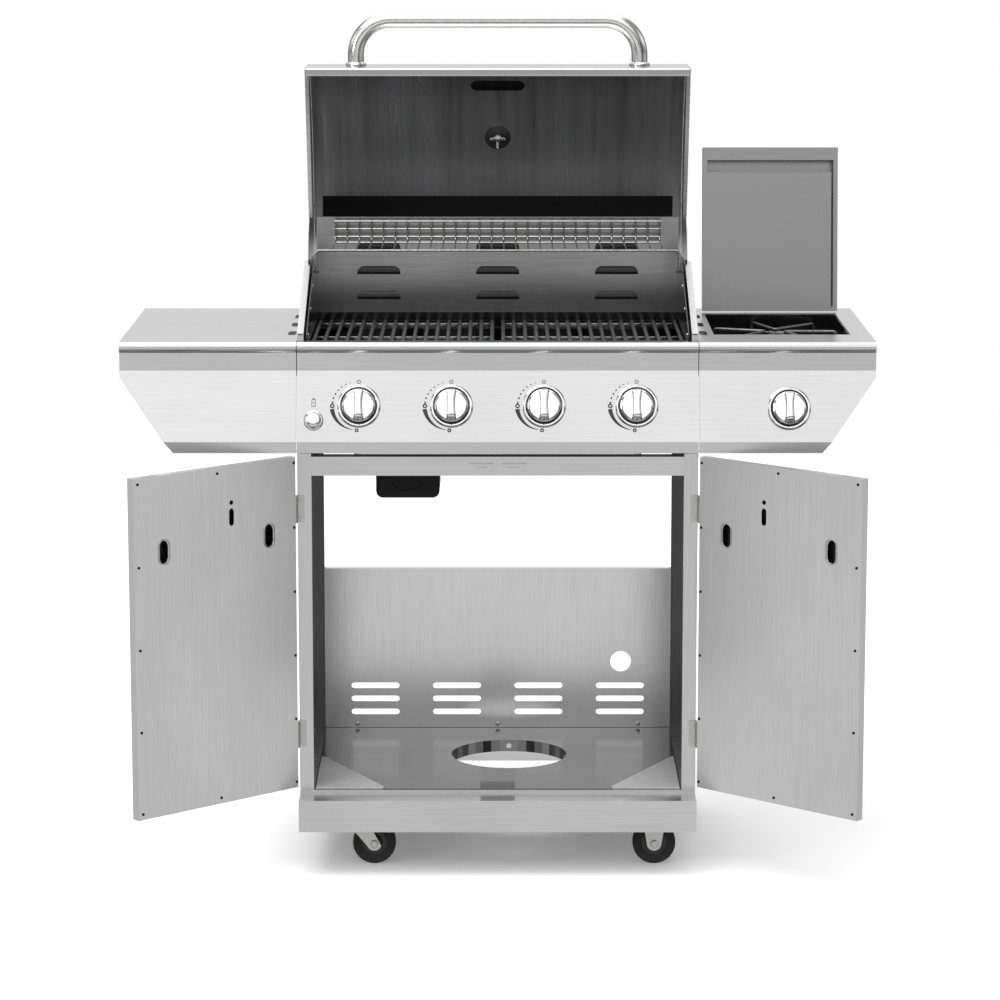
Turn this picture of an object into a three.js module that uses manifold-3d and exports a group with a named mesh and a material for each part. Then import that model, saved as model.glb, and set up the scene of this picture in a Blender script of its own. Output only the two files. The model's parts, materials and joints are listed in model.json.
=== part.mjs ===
// A four-burner gas barbecue grill on a cabinet with a side burner.
// Millimetres, +X to the cook's right, +Y to the back, +Z up.
// It stands as it is shown in a showroom: lid, side-burner lid and both doors open.
import * as THREE from 'three';
import { mergeVertices } from 'three/addons/utils/BufferGeometryUtils.js';
import Module from 'manifold-3d';

const wasm = await Module();
wasm.setup();

// ---------------------------------------------------------------- driving dimensions
const fit = 0.3;                 // gap left between two pieces that touch
const sheet = 1.5;               // stainless sheet
const plate = 2.5;               // caster and bracket plate

// whole body
const overallWidth = 1300;       // over both side shelves
const bodyWidth = 690;           // cabinet, firebox and lid
const shelfHeight = 926;
const shelfDepth = 463;
const apronDepth = 60;           // turned-down edge of a side shelf

// base and cabinet
const baseFront = -85;
const bodyBack = 420;
const baseUnderside = 79;
const ledgeHeight = 135;         // step in front of the doors
const floorHeight = 142.2;
const postFace = -30;            // front face of the side panels
const postWidth = 24;
const cabinetTop = shelfHeight - 190;
const headerHeight = 33;
const headerTop = shelfHeight - 195.5;
const headerDepth = 28;
const rearPanelTop = shelfHeight - 478;

// gas cylinder hole in the floor
const tankHoleRadius = 104.5;
const tankHoleX = 20.5;
const tankHoleY = 220.6;
const tankCollarDepth = 20;
const tankScrewRadius = 5;

// ventilation slots
const slotLength = 90;
const slotHeight = 10.5;
const slotPitchX = 152;
const slotPitchZ = 25;
const slotLowest = 173;
const hoseHoleRadius = 19.3;
const hoseHoleX = 229;
const hoseHoleZ = 269;

// casters
const wheelRadius = 38;
const wheelWidth = 24;
const axleRadius = 4;
const casterTop = 96;            // underside of the plate that carries a caster
const casterY = [baseFront + 90, bodyBack - 85];        // front pair, rear pair
const fixedCasterX = bodyWidth / 2 - 70;
const swivelCasterX = 95 - bodyWidth / 2;
const casterTrail = 33;

// control panel and shelf front
const noseRadius = 10;
const bandFace = -8;
const bandBottom = shelfHeight - 49;
const lipFace = -43;
const lipTop = shelfHeight - 168;
const lipBottom = shelfHeight - 187;
const fasciaCutX = overallWidth / 2 - 77;          // where the slanted end of a shelf front meets its lower lip
const panelTopLedge = 8;

// burners and controls
const burnerPitch = 159;
const burnerCount = 4;
const burnerTubeRadius = 12;
const burnerHeight = shelfHeight - 92;
const knobHeight = shelfHeight - 108;
const sideKnobX = overallWidth / 2 - 150;
const sideKnobHeight = shelfHeight - 112;
const knobRadius = 28.5;
const stemRadius = 4;
const stemPush = 3;              // travel of a knob when it is pushed in
const buttonX = 29 - bodyWidth / 2;
const buttonHeight = shelfHeight - 132;
const buttonRadius = 12;

// firebox
const fireboxFront = 20;
const fireboxHalfWidth = bodyWidth / 2 - 15;
const fireboxBottom = shelfHeight - 178;
const rearWallTop = shelfHeight + 173;
const endSlopeFront = shelfHeight + 10;       // height of the end panel's upper edge at the front
const endSlopeRearY = 262;
const endSlopeRear = shelfHeight + 110;
const grateTop = shelfHeight - 14;
const rodWidth = 7;
const rodPitch = 19.6;
const rodsPerGrate = Math.floor((fireboxHalfWidth + 9) / rodPitch);
const tamerHeight = shelfHeight - 50;
const tamerRise = 20;
const tamerSkirt = 6;
const tamerHalfWidth = 62;
const louvreWidth = 79;
const louvreHeight = 15;
const louvrePitchX = 217.5;
const louvreHeights = [29, 75, 121].map((h) => shelfHeight + h);

// lid
const lidPivotY = bodyBack - 42;
const lidPivotZ = shelfHeight + 64;
const lidFront = -6;
const lidRim = shelfHeight + 12;
const lidFlatHeight = 137;       // vertical front panel below the curve
const lidCrestY = bodyBack - 120;
const lidCrestZ = shelfHeight + 279;
const lidRearRadius = 160;
const lidRearEnd = shelfHeight + 124;
const lidLip = 13.7;
const lidOpen = 90;              // degrees
const handleRadius = 14.5;
const handleLength = bodyWidth - 158;
const handleStandoff = 83;
const handleBend = 62;
const handleAboveRim = 80;
const thermometerY = 132;
const thermometerRadius = 26;

// warming rack
const rackFrontY = 259;
const rackRearY = bodyBack - 20;
const rackHeight = shelfHeight + 129;
const rackBack = 38;
const rackHalfWidth = bodyWidth / 2 - 43;
const rackWirePitch = 21.85;
const rackWires = 2 * Math.floor(rackHalfWidth / rackWirePitch + 0.5);
const rackPeg = shelfHeight + 93;             // height of the pegs that carry the rack

// doors
const doorBottom = ledgeHeight + 15;
const doorTop = shelfHeight - 193;
const doorThickness = 16;
const doorGap = 1.5;             // half of the gap between the closed doors
const doorOpen = 138.5;           // degrees
const hingeY = -39;
const hingeOut = 3;              // hinge axis outside the body
const hingeHeights = [doorBottom + 92, doorTop - 93];
const hingeLength = 47;
const doorHandleHeight = doorTop - 130;
const doorHandleSpan = 222;
const doorHandleStandoff = 38;
const doorHandleRadius = 8;

// side burner
const wellLeft = bodyWidth / 2 + 31;
const wellRight = overallWidth / 2 - 35;
const wellFront = 93;
const wellBack = shelfDepth - 83;
const bowlDepth = 45;
const sideLidSide = 3;           // how far the side lid reaches past the well
const sideLidDepth = 28;
const sideLidLength = wellBack - wellFront + 6;
const sideLidHingeY = wellBack + 6;
const sideLidHingeZ = 8.5;       // above the shelf
const sideLidLift = 1.5;         // gap under the closed side lid
const sideLidOpen = 97;          // it leans back on its stop

// grease tray and cup
const trayHalfWidth = bodyWidth / 2 - 95;
const trayTop = shelfHeight - 208;
const trayDepth = 22;
const cupX = -157;
const cupWidth = 111;
const cupHeight = 52;

// derived
const halfBody = bodyWidth / 2;
const halfWidth = overallWidth / 2;
const deg = Math.PI / 180;
const panelTilt = Math.atan2(bandFace - lipFace, bandBottom - lipTop);
const burnerXs = Array.from({ length: burnerCount }, (_, i) => (i - (burnerCount - 1) / 2) * burnerPitch);

// ---------------------------------------------------------------- materials
const finish = (color, roughness, metalness) => new THREE.MeshStandardMaterial({ color, roughness, metalness });
const brushed = finish(0xc9cac8, 0.32, 1);
const polished = finish(0xe2e3e2, 0.12, 1);
const whiteSteel = finish(0xe9e9e7, 0.4, 0.6);
const enamel = finish(0x1a1a1b, 0.35, 0.2);
const castIron = finish(0x3a3a3b, 0.6, 0.5);
const blackPlastic = finish(0x141414, 0.5, 0);
const rubber = finish(0x0d0d0d, 0.8, 0);

// ---------------------------------------------------------------- solids
// A closed geometry becomes a solid that can be joined and cut.
function solid(geometry) {
  const bare = geometry.index ? geometry.clone() : geometry;
  bare.deleteAttribute('normal');
  bare.deleteAttribute('uv');
  const merged = mergeVertices(bare, 1e-4);
  const vertProperties = new Float32Array(merged.attributes.position.array);
  const triVerts = new Uint32Array(merged.index.array);
  return new wasm.Manifold(new wasm.Mesh({ numProp: 3, vertProperties, triVerts }));
}

function geometryOf(body) {
  const mesh = body.getMesh();
  const geometry = new THREE.BufferGeometry();
  geometry.setAttribute('position', new THREE.BufferAttribute(new Float32Array(mesh.vertProperties), 3));
  geometry.setIndex(new THREE.BufferAttribute(new Uint32Array(mesh.triVerts), 1));
  return geometry;
}

const union = (...bodies) => bodies.flat().reduce((sum, body) => sum.add(body));

function block(x0, x1, y0, y1, z0, z1) {
  const geometry = new THREE.BoxGeometry(x1 - x0, y1 - y0, z1 - z0);
  geometry.translate((x0 + x1) / 2, (y0 + y1) / 2, (z0 + z1) / 2);
  return solid(geometry);
}

function shapeOf(outline) {
  return outline instanceof THREE.Shape ? outline : new THREE.Shape(outline.map(([a, b]) => new THREE.Vector2(a, b)));
}

function prism(outline, depth, segments, place) {
  const shape = shapeOf(outline);
  const geometry = new THREE.ExtrudeGeometry(shape, { depth, bevelEnabled: false, curveSegments: segments });
  geometry.applyMatrix4(place);
  return solid(geometry);
}

// an outline of (y, z) points carried from x0 to x1
function alongX(outline, x0, x1, segments = 8) {
  return prism(outline, x1 - x0, segments, new THREE.Matrix4().set(0, 0, 1, x0, 1, 0, 0, 0, 0, 1, 0, 0, 0, 0, 0, 1));
}

// an outline of (x, z) points carried from y0 to y1
function alongY(outline, y0, y1, segments = 8) {
  return prism(outline, y1 - y0, segments, new THREE.Matrix4().set(1, 0, 0, 0, 0, 0, -1, y1, 0, 1, 0, 0, 0, 0, 0, 1));
}

// an outline of (x, y) points carried from z0 to z1
function alongZ(outline, z0, z1, segments = 8) {
  return prism(outline, z1 - z0, segments, new THREE.Matrix4().makeTranslation(0, 0, z0));
}

// a round bar between two points
function bar(from, to, radius, sides = 12) {
  const start = new THREE.Vector3(...from);
  const along = new THREE.Vector3(...to).sub(start);
  const geometry = new THREE.CylinderGeometry(radius, radius, along.length(), sides);
  geometry.translate(0, along.length() / 2, 0);
  geometry.applyQuaternion(new THREE.Quaternion().setFromUnitVectors(new THREE.Vector3(0, 1, 0), along.normalize()));
  geometry.translate(...from);
  return solid(geometry);
}

// a (radius, height) profile turned about an axis that starts at a point
function turned(profile, from, axis, segments = 24) {
  const geometry = new THREE.LatheGeometry(profile.map(([r, h]) => new THREE.Vector2(r, h)), segments);
  geometry.applyQuaternion(new THREE.Quaternion().setFromUnitVectors(new THREE.Vector3(0, 1, 0), axis));
  geometry.translate(...from);
  return solid(geometry);
}

// a tube of regular section along a curve
function tube(curve, radius, sides, steps) {
  const ring = Array.from({ length: sides }, (_, i) => {
    const angle = (i + 0.5) * 2 * Math.PI / sides;
    return new THREE.Vector2(radius * Math.cos(angle), radius * Math.sin(angle));
  });
  return solid(new THREE.ExtrudeGeometry(new THREE.Shape(ring), { extrudePath: curve, steps, bevelEnabled: false }));
}

// the points of an arc, angles in degrees
function arc(cx, cy, radius, from, to, steps) {
  return Array.from({ length: steps + 1 }, (_, i) => {
    const angle = (from + (to - from) * i / steps) * deg;
    return [cx + radius * Math.cos(angle), cy + radius * Math.sin(angle)];
  });
}

// the closed outline of a bent sheet: its face line, and the same line moved
// sideways by the thickness, to the right of the way it runs
function bentSheet(face, thickness) {
  const normals = face.slice(1).map(([x, y], i) => {
    const [dx, dy] = [x - face[i][0], y - face[i][1]];
    const length = Math.hypot(dx, dy);
    return [dy / length, -dx / length];
  });
  const back = face.map(([x, y], i) => {
    const before = normals[Math.max(i - 1, 0)];
    const after = normals[Math.min(i, normals.length - 1)];
    const scale = thickness / (1 + before[0] * after[0] + before[1] * after[1]);
    return [x + (before[0] + after[0]) * scale, y + (before[1] + after[1]) * scale];
  });
  return [...face, ...back.reverse()];
}

// a slot outline with round ends, long side along the first axis
function slot(cx, cy, length, height, steps = 4) {
  const r = height / 2;
  const run = length / 2 - r;
  return [...arc(cx + run, cy, r, -90, 90, steps), ...arc(cx - run, cy, r, 90, 270, steps)];
}

const mirrorX = (body) => body.mirror([1, 0, 0]);

const grill = new THREE.Group();

function add(name, body, material, parent = grill) {
  const mesh = new THREE.Mesh(geometryOf(body), material);
  mesh.name = name;
  parent.add(mesh);
}

// adds a piece and its mirror image at the other side
function addPair(name, body, material, left = grill, right = grill) {
  add(`${name}_left`, body, material, left);
  add(`${name}_right`, mirrorX(body), material, right);
}

// a group turned about an axis through a point, whose pieces are given as they
// lie when it is closed
function turnedGroup(x, y, z, axis, degrees) {
  const outer = new THREE.Group();
  outer.position.set(x, y, z);
  outer.setRotationFromAxisAngle(axis, degrees * deg);
  const inner = new THREE.Group();
  inner.position.set(-x, -y, -z);
  outer.add(inner);
  grill.add(outer);
  return inner;
}

const axisX = new THREE.Vector3(1, 0, 0);
const axisY = new THREE.Vector3(0, 1, 0);
const axisZ = new THREE.Vector3(0, 0, 1);

// ---------------------------------------------------------------- base
function baseFrame() {
  const top = floorHeight - sheet - fit;
  const side = [[baseFront, baseUnderside], [bodyBack, baseUnderside], [bodyBack, top], [postFace, top],
    [postFace, ledgeHeight], [baseFront, ledgeHeight]];
  const wall = 2;
  const inside = [[baseFront + wall, baseUnderside - 1], [bodyBack - wall, baseUnderside - 1],
    [bodyBack - wall, top - wall], [postFace + wall, top - wall], [postFace + wall, ledgeHeight - wall],
    [baseFront + wall, ledgeHeight - wall]];
  const shell = alongX(side, -halfBody, halfBody).subtract(alongX(inside, -halfBody + wall, halfBody - wall));
  const rim = 70;
  const opening = block(-halfBody + rim, halfBody - rim, postFace + rim, bodyBack - rim, top - 2 * wall, top + 1);
  const pads = casterY.flatMap((y) => [
    block(-halfBody + 1, swivelCasterX + 45, y - 40, y + 40, casterTop, casterTop + plate),
    block(fixedCasterX - 45, halfBody - 1, y - 40, y + 40, casterTop, casterTop + plate),
  ]);
  return union(shell.subtract(opening), pads);
}

function bottomPanel() {
  const half = halfBody - postWidth - fit;
  const bottom = floorHeight - sheet;
  const pan = block(-half, half, postFace + sheet + fit, bodyBack - sheet - fit, bottom, floorHeight);
  const ring = (radius, z0, z1) => bar([tankHoleX, tankHoleY, z0], [tankHoleX, tankHoleY, z1], radius, 40);
  const collar = ring(tankHoleRadius + sheet, bottom - tankCollarDepth, bottom + sheet / 2);
  const screwZ = bottom - tankCollarDepth / 2;
  const backY = tankHoleY + tankHoleRadius;
  const screwHole = bar([tankHoleX, backY - 6, screwZ], [tankHoleX, backY + 6, screwZ], tankScrewRadius, 12);
  const catchTab = block(-30, 30, postFace + sheet + fit, postFace + 2 * sheet + fit, bottom + 0.5, floorHeight + 13);
  return union(pan, collar, catchTab).subtract(ring(tankHoleRadius, 0, 200)).subtract(screwHole);
}

// A side panel: one sheet folded to a channel, with a flange at the front and the back.
function sidePanel() {
  const x = -halfBody;
  const turnIn = 10;
  const plan = bentSheet([
    [x + postWidth, postFace + turnIn], [x + postWidth, postFace], [x, postFace], [x, bodyBack],
    [x + postWidth, bodyBack], [x + postWidth, bodyBack - turnIn],
  ], sheet);
  let panel = alongZ(plan, floorHeight - sheet, cabinetTop);
  for (let row = 0; row < 3; row += 1) {
    for (const y of [90, 300]) {
      const hole = slot(y, slotLowest + row * slotPitchZ, slotLength, slotHeight);
      panel = panel.subtract(alongX(hole, x - 5, x + 5));
    }
  }
  return panel;
}

function rearPanel() {
  const half = halfBody - 4;
  const y0 = bodyBack + fit;
  let panel = block(-half, half, y0, y0 + sheet, floorHeight - 20, rearPanelTop);
  const flange = block(-halfBody + postWidth + 2, halfBody - postWidth - 2, y0 - 12, y0 + sheet,
    rearPanelTop - sheet, rearPanelTop);
  panel = panel.add(flange);
  for (let column = 0; column < 4; column += 1) {
    for (let row = 0; row < 3; row += 1) {
      const x = (column - 1.5) * slotPitchX;
      const hole = slot(x, slotLowest + row * slotPitchZ, slotLength, slotHeight);
      panel = panel.subtract(alongY(hole, y0 - 5, y0 + 5));
    }
  }
  return panel.subtract(bar([hoseHoleX, y0 - 5, hoseHoleZ], [hoseHoleX, y0 + 5, hoseHoleZ], hoseHoleRadius, 28));
}

function headerBeam() {
  const half = halfBody - postWidth - fit;
  const bottom = headerTop - headerHeight;
  const channel = bentSheet([
    [postFace + headerDepth, headerTop], [postFace, headerTop], [postFace, bottom], [postFace + headerDepth, bottom],
  ].reverse(), sheet);
  return alongX(channel, -half, half);
}

// ---------------------------------------------------------------- casters
function wheel(x, y) {
  const half = wheelWidth / 2;
  const bore = axleRadius + fit;
  const hub = 13;
  const profile = [
    [bore, -half], [hub, -half], [hub + 1.5, -half + 3], [wheelRadius - 12, -half + 3], [wheelRadius - 10, -half],
    [wheelRadius - 4, -half], [wheelRadius, -half + 5], [wheelRadius, half - 5], [wheelRadius - 4, half],
    [wheelRadius - 10, half], [wheelRadius - 12, half - 3], [hub + 1.5, half - 3], [hub, half], [bore, half],
    [bore, -half],
  ];
  return turned(profile, [x, y, wheelRadius], axisY, 20);
}

// The two cheeks, top plate and axle of a caster; the axle lies along Y.
function casterFork(plateX, wheelX, y) {
  const inner = wheelWidth / 2 + 1.5;
  const top = casterTop - fit;
  const shoulder = 20;
  const cheek = [
    [plateX - shoulder, top], [plateX - shoulder, top - 14],
    ...arc(wheelX, wheelRadius, 13, 200, 340, 6),
    [plateX + shoulder, top - 14], [plateX + shoulder, top],
  ];
  const cheeks = [-1, 1].map((side) => {
    const from = side > 0 ? y + inner : y - inner - plate;
    return alongY(cheek.slice().reverse(), from, from + plate);
  });
  const bridge = block(plateX - shoulder, plateX + shoulder, y - inner - plate, y + inner + plate, top - plate, top);
  const axleEnd = inner + plate + 5;
  const axle = bar([wheelX, y - axleEnd, wheelRadius], [wheelX, y + axleEnd, wheelRadius], axleRadius, 12);
  return union(cheeks, bridge, axle);
}

// ---------------------------------------------------------------- fronts and shelves
// The face line of the rolled edge, band, slanted fascia and lower lip, top to bottom.
function frontFace(topBack) {
  const noseCentre = shelfHeight - noseRadius;
  return [
    [topBack, shelfHeight], ...arc(-2, noseCentre, noseRadius, 90, 225, 14),
    [bandFace, noseCentre - noseRadius + 1.5], [bandFace, bandBottom], [lipFace, lipTop], [lipFace, lipBottom],
    [lipFace + 22, lipBottom],
  ];
}

const panelNormal = new THREE.Vector3(0, -Math.cos(panelTilt), Math.sin(panelTilt));

// a point on the slanted fascia at a height, moved outwards by a distance
function fasciaPoint(x, height, out = 0) {
  const y = bandFace - (bandBottom - height) * Math.tan(panelTilt);
  return [x, y + panelNormal.y * out, height + panelNormal.z * out];
}

function fasciaHole(x, height, radius) {
  return bar(fasciaPoint(x, height, -12), fasciaPoint(x, height, 12), radius, 14);
}

function controlPanel() {
  const half = halfBody - fit;
  const face = frontFace(panelTopLedge);
  const shell = alongX(bentSheet(face.reverse(), sheet), -half, half);
  const holes = burnerXs.map((x) => fasciaHole(x, knobHeight, stemRadius + 3));
  holes.push(fasciaHole(buttonX, buttonHeight, buttonRadius + 1));
  return holes.reduce((body, hole) => body.subtract(hole), shell);
}

// A side shelf: top, rolled front, slanted fascia with its corner cut, and aprons.
function sideShelf(outward) {
  const inner = halfBody + fit + 0.7;
  const ventPitch = 115;
  const face = frontFace(shelfDepth);
  face.unshift([shelfDepth, shelfHeight - apronDepth]);
  const skin = alongX(bentSheet(face.reverse(), sheet), inner, halfWidth);
  const apronBottom = shelfHeight - apronDepth;
  const capOutline = [
    [shelfDepth, apronBottom], [shelfDepth, shelfHeight], ...frontFace(shelfDepth).slice(1, -1),
    [lipFace + 2, lipBottom], [bandFace + 6, apronBottom],
  ].reverse();
  const innerOutline = capOutline.map(([y, z]) => [Math.max(y, lipFace + 2), z]);
  const outerWall = alongX(capOutline, halfWidth - sheet, halfWidth);
  const innerWall = alongX(innerOutline, inner, inner + sheet);
  const lipX = fasciaCutX - (lipTop - lipBottom) * 0.9;
  const cut = alongY([
    [halfWidth + 5, apronBottom + 0.01], [halfWidth, apronBottom], [fasciaCutX, lipTop], [lipX, lipBottom - 1],
    [lipX, lipBottom - 5], [halfWidth + 5, lipBottom - 5],
  ], -60, shelfDepth + 5);
  let shelf = union(skin, outerWall, innerWall).subtract(cut);
  for (let i = 0; i < 3; i += 1) {
    const y0 = 94 + i * ventPitch;
    const vent = slot(y0 + 18, inner + 13, 52, 14);
    shelf = shelf.subtract(alongZ(vent.map(([y, x]) => [x, y]).reverse(), shelfHeight - 5, shelfHeight + 5));
  }
  return outward > 0 ? shelf : mirrorX(shelf);
}

// ---------------------------------------------------------------- firebox
function louvre(x, z) {
  const half = louvreWidth / 2;
  const r = louvreHeight - 3;
  return [[x - half, z - louvreHeight / 2], [x + half, z - louvreHeight / 2], [x + half, z - louvreHeight / 2 + 3],
    ...arc(x + half - r, z - louvreHeight / 2 + 3, r, 20, 90, 4),
    ...arc(x - half + r, z - louvreHeight / 2 + 3, r, 90, 160, 4), [x - half, z - louvreHeight / 2 + 3]];
}

// height of the end panel's upper edge at a depth
function endEdge(y) {
  return endSlopeFront + (endSlopeRear - endSlopeFront) * Math.min(y, endSlopeRearY) / endSlopeRearY;
}

function firebox() {
  const back = bodyBack + 5;
  const half = fireboxHalfWidth;
  const fall = 52;
  const middle = (fireboxFront + back) / 2;
  const outletX = cupX;
  const outer = [
    [panelTopLedge + fit, shelfHeight - 2], [fireboxFront, shelfHeight - 2], [fireboxFront, fireboxBottom + fall],
    [middle - 60, fireboxBottom], [middle + 60, fireboxBottom], [back, fireboxBottom + fall],
    [back, shelfHeight - 2],
  ];
  const trough = alongX(bentSheet(outer.reverse(), sheet), -half, half);
  const sideOutline = [
    [fireboxFront, shelfHeight - 2], [fireboxFront, fireboxBottom + fall], [middle - 60, fireboxBottom],
    [middle + 60, fireboxBottom], [back, fireboxBottom + fall], [back, endSlopeRear - 8],
    [endSlopeRearY, endSlopeRear - 8], [fireboxFront, endEdge(fireboxFront) - 8],
  ];
  const sides = [alongX(sideOutline, -half, -half + sheet), alongX(sideOutline, half - sheet, half)];
  const tamerFoot = tamerHeight - tamerRise - tamerSkirt;
  const ledges = [grateTop - 2 * rodWidth - 2 - fit, tamerFoot - fit].flatMap((z) => [
    block(-half + 1, half - 1, fireboxFront - 1, fireboxFront + 14, z - sheet, z),
    block(-half + 1, half - 1, back - 14, back - 0.5, z - sheet, z),
  ]);
  const rails = [-1, 1].map((side) => {
    const inner = side * (trayHalfWidth - 8);
    const outerX = side * (trayHalfWidth + 3);
    const profile = bentSheet([[outerX, fireboxBottom + 4], [outerX, trayTop - trayDepth - fit],
      [inner, trayTop - trayDepth - fit]], -side * sheet);
    return alongY(profile, middle - 55, middle + 55);
  });
  const pegs = [-1, 1].map((side) => {
    const wall = side * (half - 1);
    const end = side * (half - 12);
    return block(Math.min(wall, end), Math.max(wall, end), rackFrontY - 4, rackFrontY + 8, rackPeg - 4, rackPeg);
  });
  let body = union(trough, sides, ledges, rails, pegs);
  const outlet = block(outletX - 50, outletX + 50, middle - 30, middle + 30, fireboxBottom - 5, fireboxBottom + 5);
  body = body.subtract(outlet);
  for (const x of burnerXs) {
    const hole = bar([x, fireboxFront - 5, burnerHeight], [x, fireboxFront + 5, burnerHeight], burnerTubeRadius + 1.5, 16);
    body = body.subtract(hole);
  }
  return body;
}

// The stainless back wall with its nine louvres.
function rearBaffle() {
  const y0 = bodyBack + 5 + fit;
  let wall = block(-fireboxHalfWidth, fireboxHalfWidth, y0, y0 + sheet, fireboxBottom + 60, rearWallTop);
  const topLip = block(-fireboxHalfWidth, fireboxHalfWidth, y0 - 5, y0 + sheet, rearWallTop - sheet, rearWallTop);
  wall = wall.add(topLip);
  for (const z of louvreHeights) {
    for (const x of [-louvrePitchX, 0, louvrePitchX]) {
      wall = wall.subtract(alongY(louvre(x, z), y0 - 5, y0 + 5));
    }
  }
  return wall;
}

// An end panel: outer wall with a notch for the lid's ear, sloping top strip, liner and pivot pin.
function fireboxEnd() {
  const outer = -halfBody;
  const liner = -fireboxHalfWidth - 4;
  const back = bodyBack;
  const bottom = cabinetTop + fit;
  const notchY = endSlopeRearY + 4;
  const notchZ = lidPivotZ - 75;
  const front = panelTopLedge + fit;
  const slope = (y, drop) => [y, endEdge(y) - drop];
  const outerWall = alongX([
    [front, bottom], [back, bottom], [back, notchZ], [notchY, notchZ], [notchY - 4, notchZ + 4],
    [endSlopeRearY, endSlopeRear], slope(front, 0),
  ], outer, outer + sheet);
  const linerWall = alongX([
    [front, bottom], [back, bottom], [back, endSlopeRear - 6], [endSlopeRearY, endSlopeRear], slope(front, 0),
  ], liner - sheet, liner);
  const topStrip = alongX([
    [endSlopeRearY, endSlopeRear - sheet], [endSlopeRearY, endSlopeRear], slope(front, 0), slope(front, sheet),
  ], outer, liner);
  const frontStrip = block(outer, liner, front, front + sheet, bottom, endSlopeFront);
  const backStrip = block(outer, liner, back - sheet, back, bottom, notchZ);
  const pin = bar([liner - 1, lidPivotY, lidPivotZ], [outer - 3, lidPivotY, lidPivotZ], 5, 16);
  const head = bar([outer - 2.2, lidPivotY, lidPivotZ], [outer - 5, lidPivotY, lidPivotZ], 8, 16);
  return union(outerWall, linerWall, topStrip, frontStrip, backStrip, pin, head);
}

// ---------------------------------------------------------------- burners
const valveOut = -16;            // valve face, behind the fascia

// Four burner tubes with their valves on one gas rail.
function burnerRail() {
  const railY = fasciaPoint(0, knobHeight, -36)[1];
  const railZ = knobHeight - 12;
  const rail = block(burnerXs[0] - 20, burnerXs[burnerCount - 1] + 20, railY - 7, railY + 7, railZ - 7, railZ + 7);
  const tubes = burnerXs.map((x) => {
    const riser = bar([x, railY, railZ - 4], [x, railY, burnerHeight + 5], 7, 6);
    const mixer = bar([x, railY - 6, burnerHeight], [x, bodyBack - 20, burnerHeight], burnerTubeRadius, 10);
    const valve = bar(fasciaPoint(x, knobHeight, valveOut), fasciaPoint(x, knobHeight, valveOut - 22), 9, 12);
    const bore = bar(fasciaPoint(x, knobHeight, valveOut + 1), fasciaPoint(x, knobHeight, valveOut - 12),
      stemRadius + fit, 8);
    return union(riser, mixer, valve).subtract(bore);
  });
  return union(rail, tubes);
}

function flameTamer(x) {
  const half = tamerHalfWidth;
  const eaves = tamerHeight - tamerRise;
  const chevron = bentSheet([[x - half, eaves - tamerSkirt], [x - half, eaves], [x, tamerHeight], [x + half, eaves],
    [x + half, eaves - tamerSkirt]], sheet);
  return alongY(chevron, fireboxFront + 4, bodyBack - 2);
}

// A cooking grate: rods from front to back on three cross bars.
function cookingGrate(side) {
  const first = rodPitch / 2;
  const front = fireboxFront + 3;
  const back = bodyBack - 4;
  const xs = Array.from({ length: rodsPerGrate }, (_, i) => side * (first + i * rodPitch));
  const rods = xs.map((x) => block(x - rodWidth / 2, x + rodWidth / 2, front, back, grateTop - rodWidth, grateTop));
  const xLow = Math.min(xs[0], xs[rodsPerGrate - 1]) - 3;
  const xHigh = Math.max(xs[0], xs[rodsPerGrate - 1]) + 3;
  const bars = [front + 8, (front + back) / 2, back - 8].map((y) => (
    block(xLow, xHigh, y - 4, y + 4, grateTop - 2 * rodWidth - 2, grateTop - rodWidth + 1)
  ));
  return union(bars.concat(rods));
}

// ---------------------------------------------------------------- warming rack
function warmingRack() {
  const r = 2;
  const xs = Array.from({ length: rackWires }, (_, i) => (i - (rackWires - 1) / 2) * rackWirePitch);
  const top = rackHeight + rackBack;
  const long = (y, z, half) => block(-half, half, y - r, y + r, z - r, z + r);
  const rails = [
    long(rackFrontY, rackHeight, rackHalfWidth), long(rackRearY, rackHeight + rackBack / 3, rackHalfWidth),
    long(rackRearY, top, rackHalfWidth),
  ];
  const wires = xs.map((x) => alongX([
    [rackFrontY - r, rackHeight - r], [rackRearY + r, rackHeight - r], [rackRearY + r, top], [rackRearY - r, top],
    [rackRearY - r, rackHeight + r], [rackFrontY - r, rackHeight + r],
  ], x - 1.25, x + 1.25));
  const foot = rackPeg + fit;
  const ears = [-1, 1].map((side) => {
    const x = side * (fireboxHalfWidth - 6);
    const across = block(Math.min(x - r, side * rackHalfWidth), Math.max(x + r, side * rackHalfWidth),
      rackFrontY - r, rackFrontY + r, rackHeight - r, rackHeight + r);
    return across.add(block(x - r, x + r, rackFrontY - r, rackFrontY + r, foot, rackHeight + r));
  });
  return union(rails, wires, ears);
}

// ---------------------------------------------------------------- lid
// The lid's outer face line when closed, from the rim's lip over the crest to the back.
function lidFace() {
  const flatTop = lidRim + lidFlatHeight;
  const chord = Math.hypot(lidCrestY - lidFront, lidCrestZ - flatTop);
  const half = Math.atan2(lidCrestZ - flatTop, lidCrestY - lidFront);
  const radius = chord / (2 * Math.sin(half));
  const front = arc(lidCrestY, lidCrestZ - radius, radius, 90 + 2 * half / deg, 90, 12);
  const rearCentre = lidCrestZ - lidRearRadius;
  const rearEnd = Math.asin((lidRearEnd - rearCentre) / lidRearRadius) / deg;
  const rear = arc(lidCrestY, rearCentre, lidRearRadius, 90, rearEnd, 10).slice(1);
  return [[lidFront, lidRim], ...front, ...rear];
}

function lidShell() {
  const half = halfBody - sheet - fit;
  const face = [[lidFront + lidLip, lidRim], ...lidFace()];
  const hole = thermometerHole(7);
  return alongX(bentSheet(face, sheet).reverse(), -half, half).subtract(hole);
}

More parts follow.
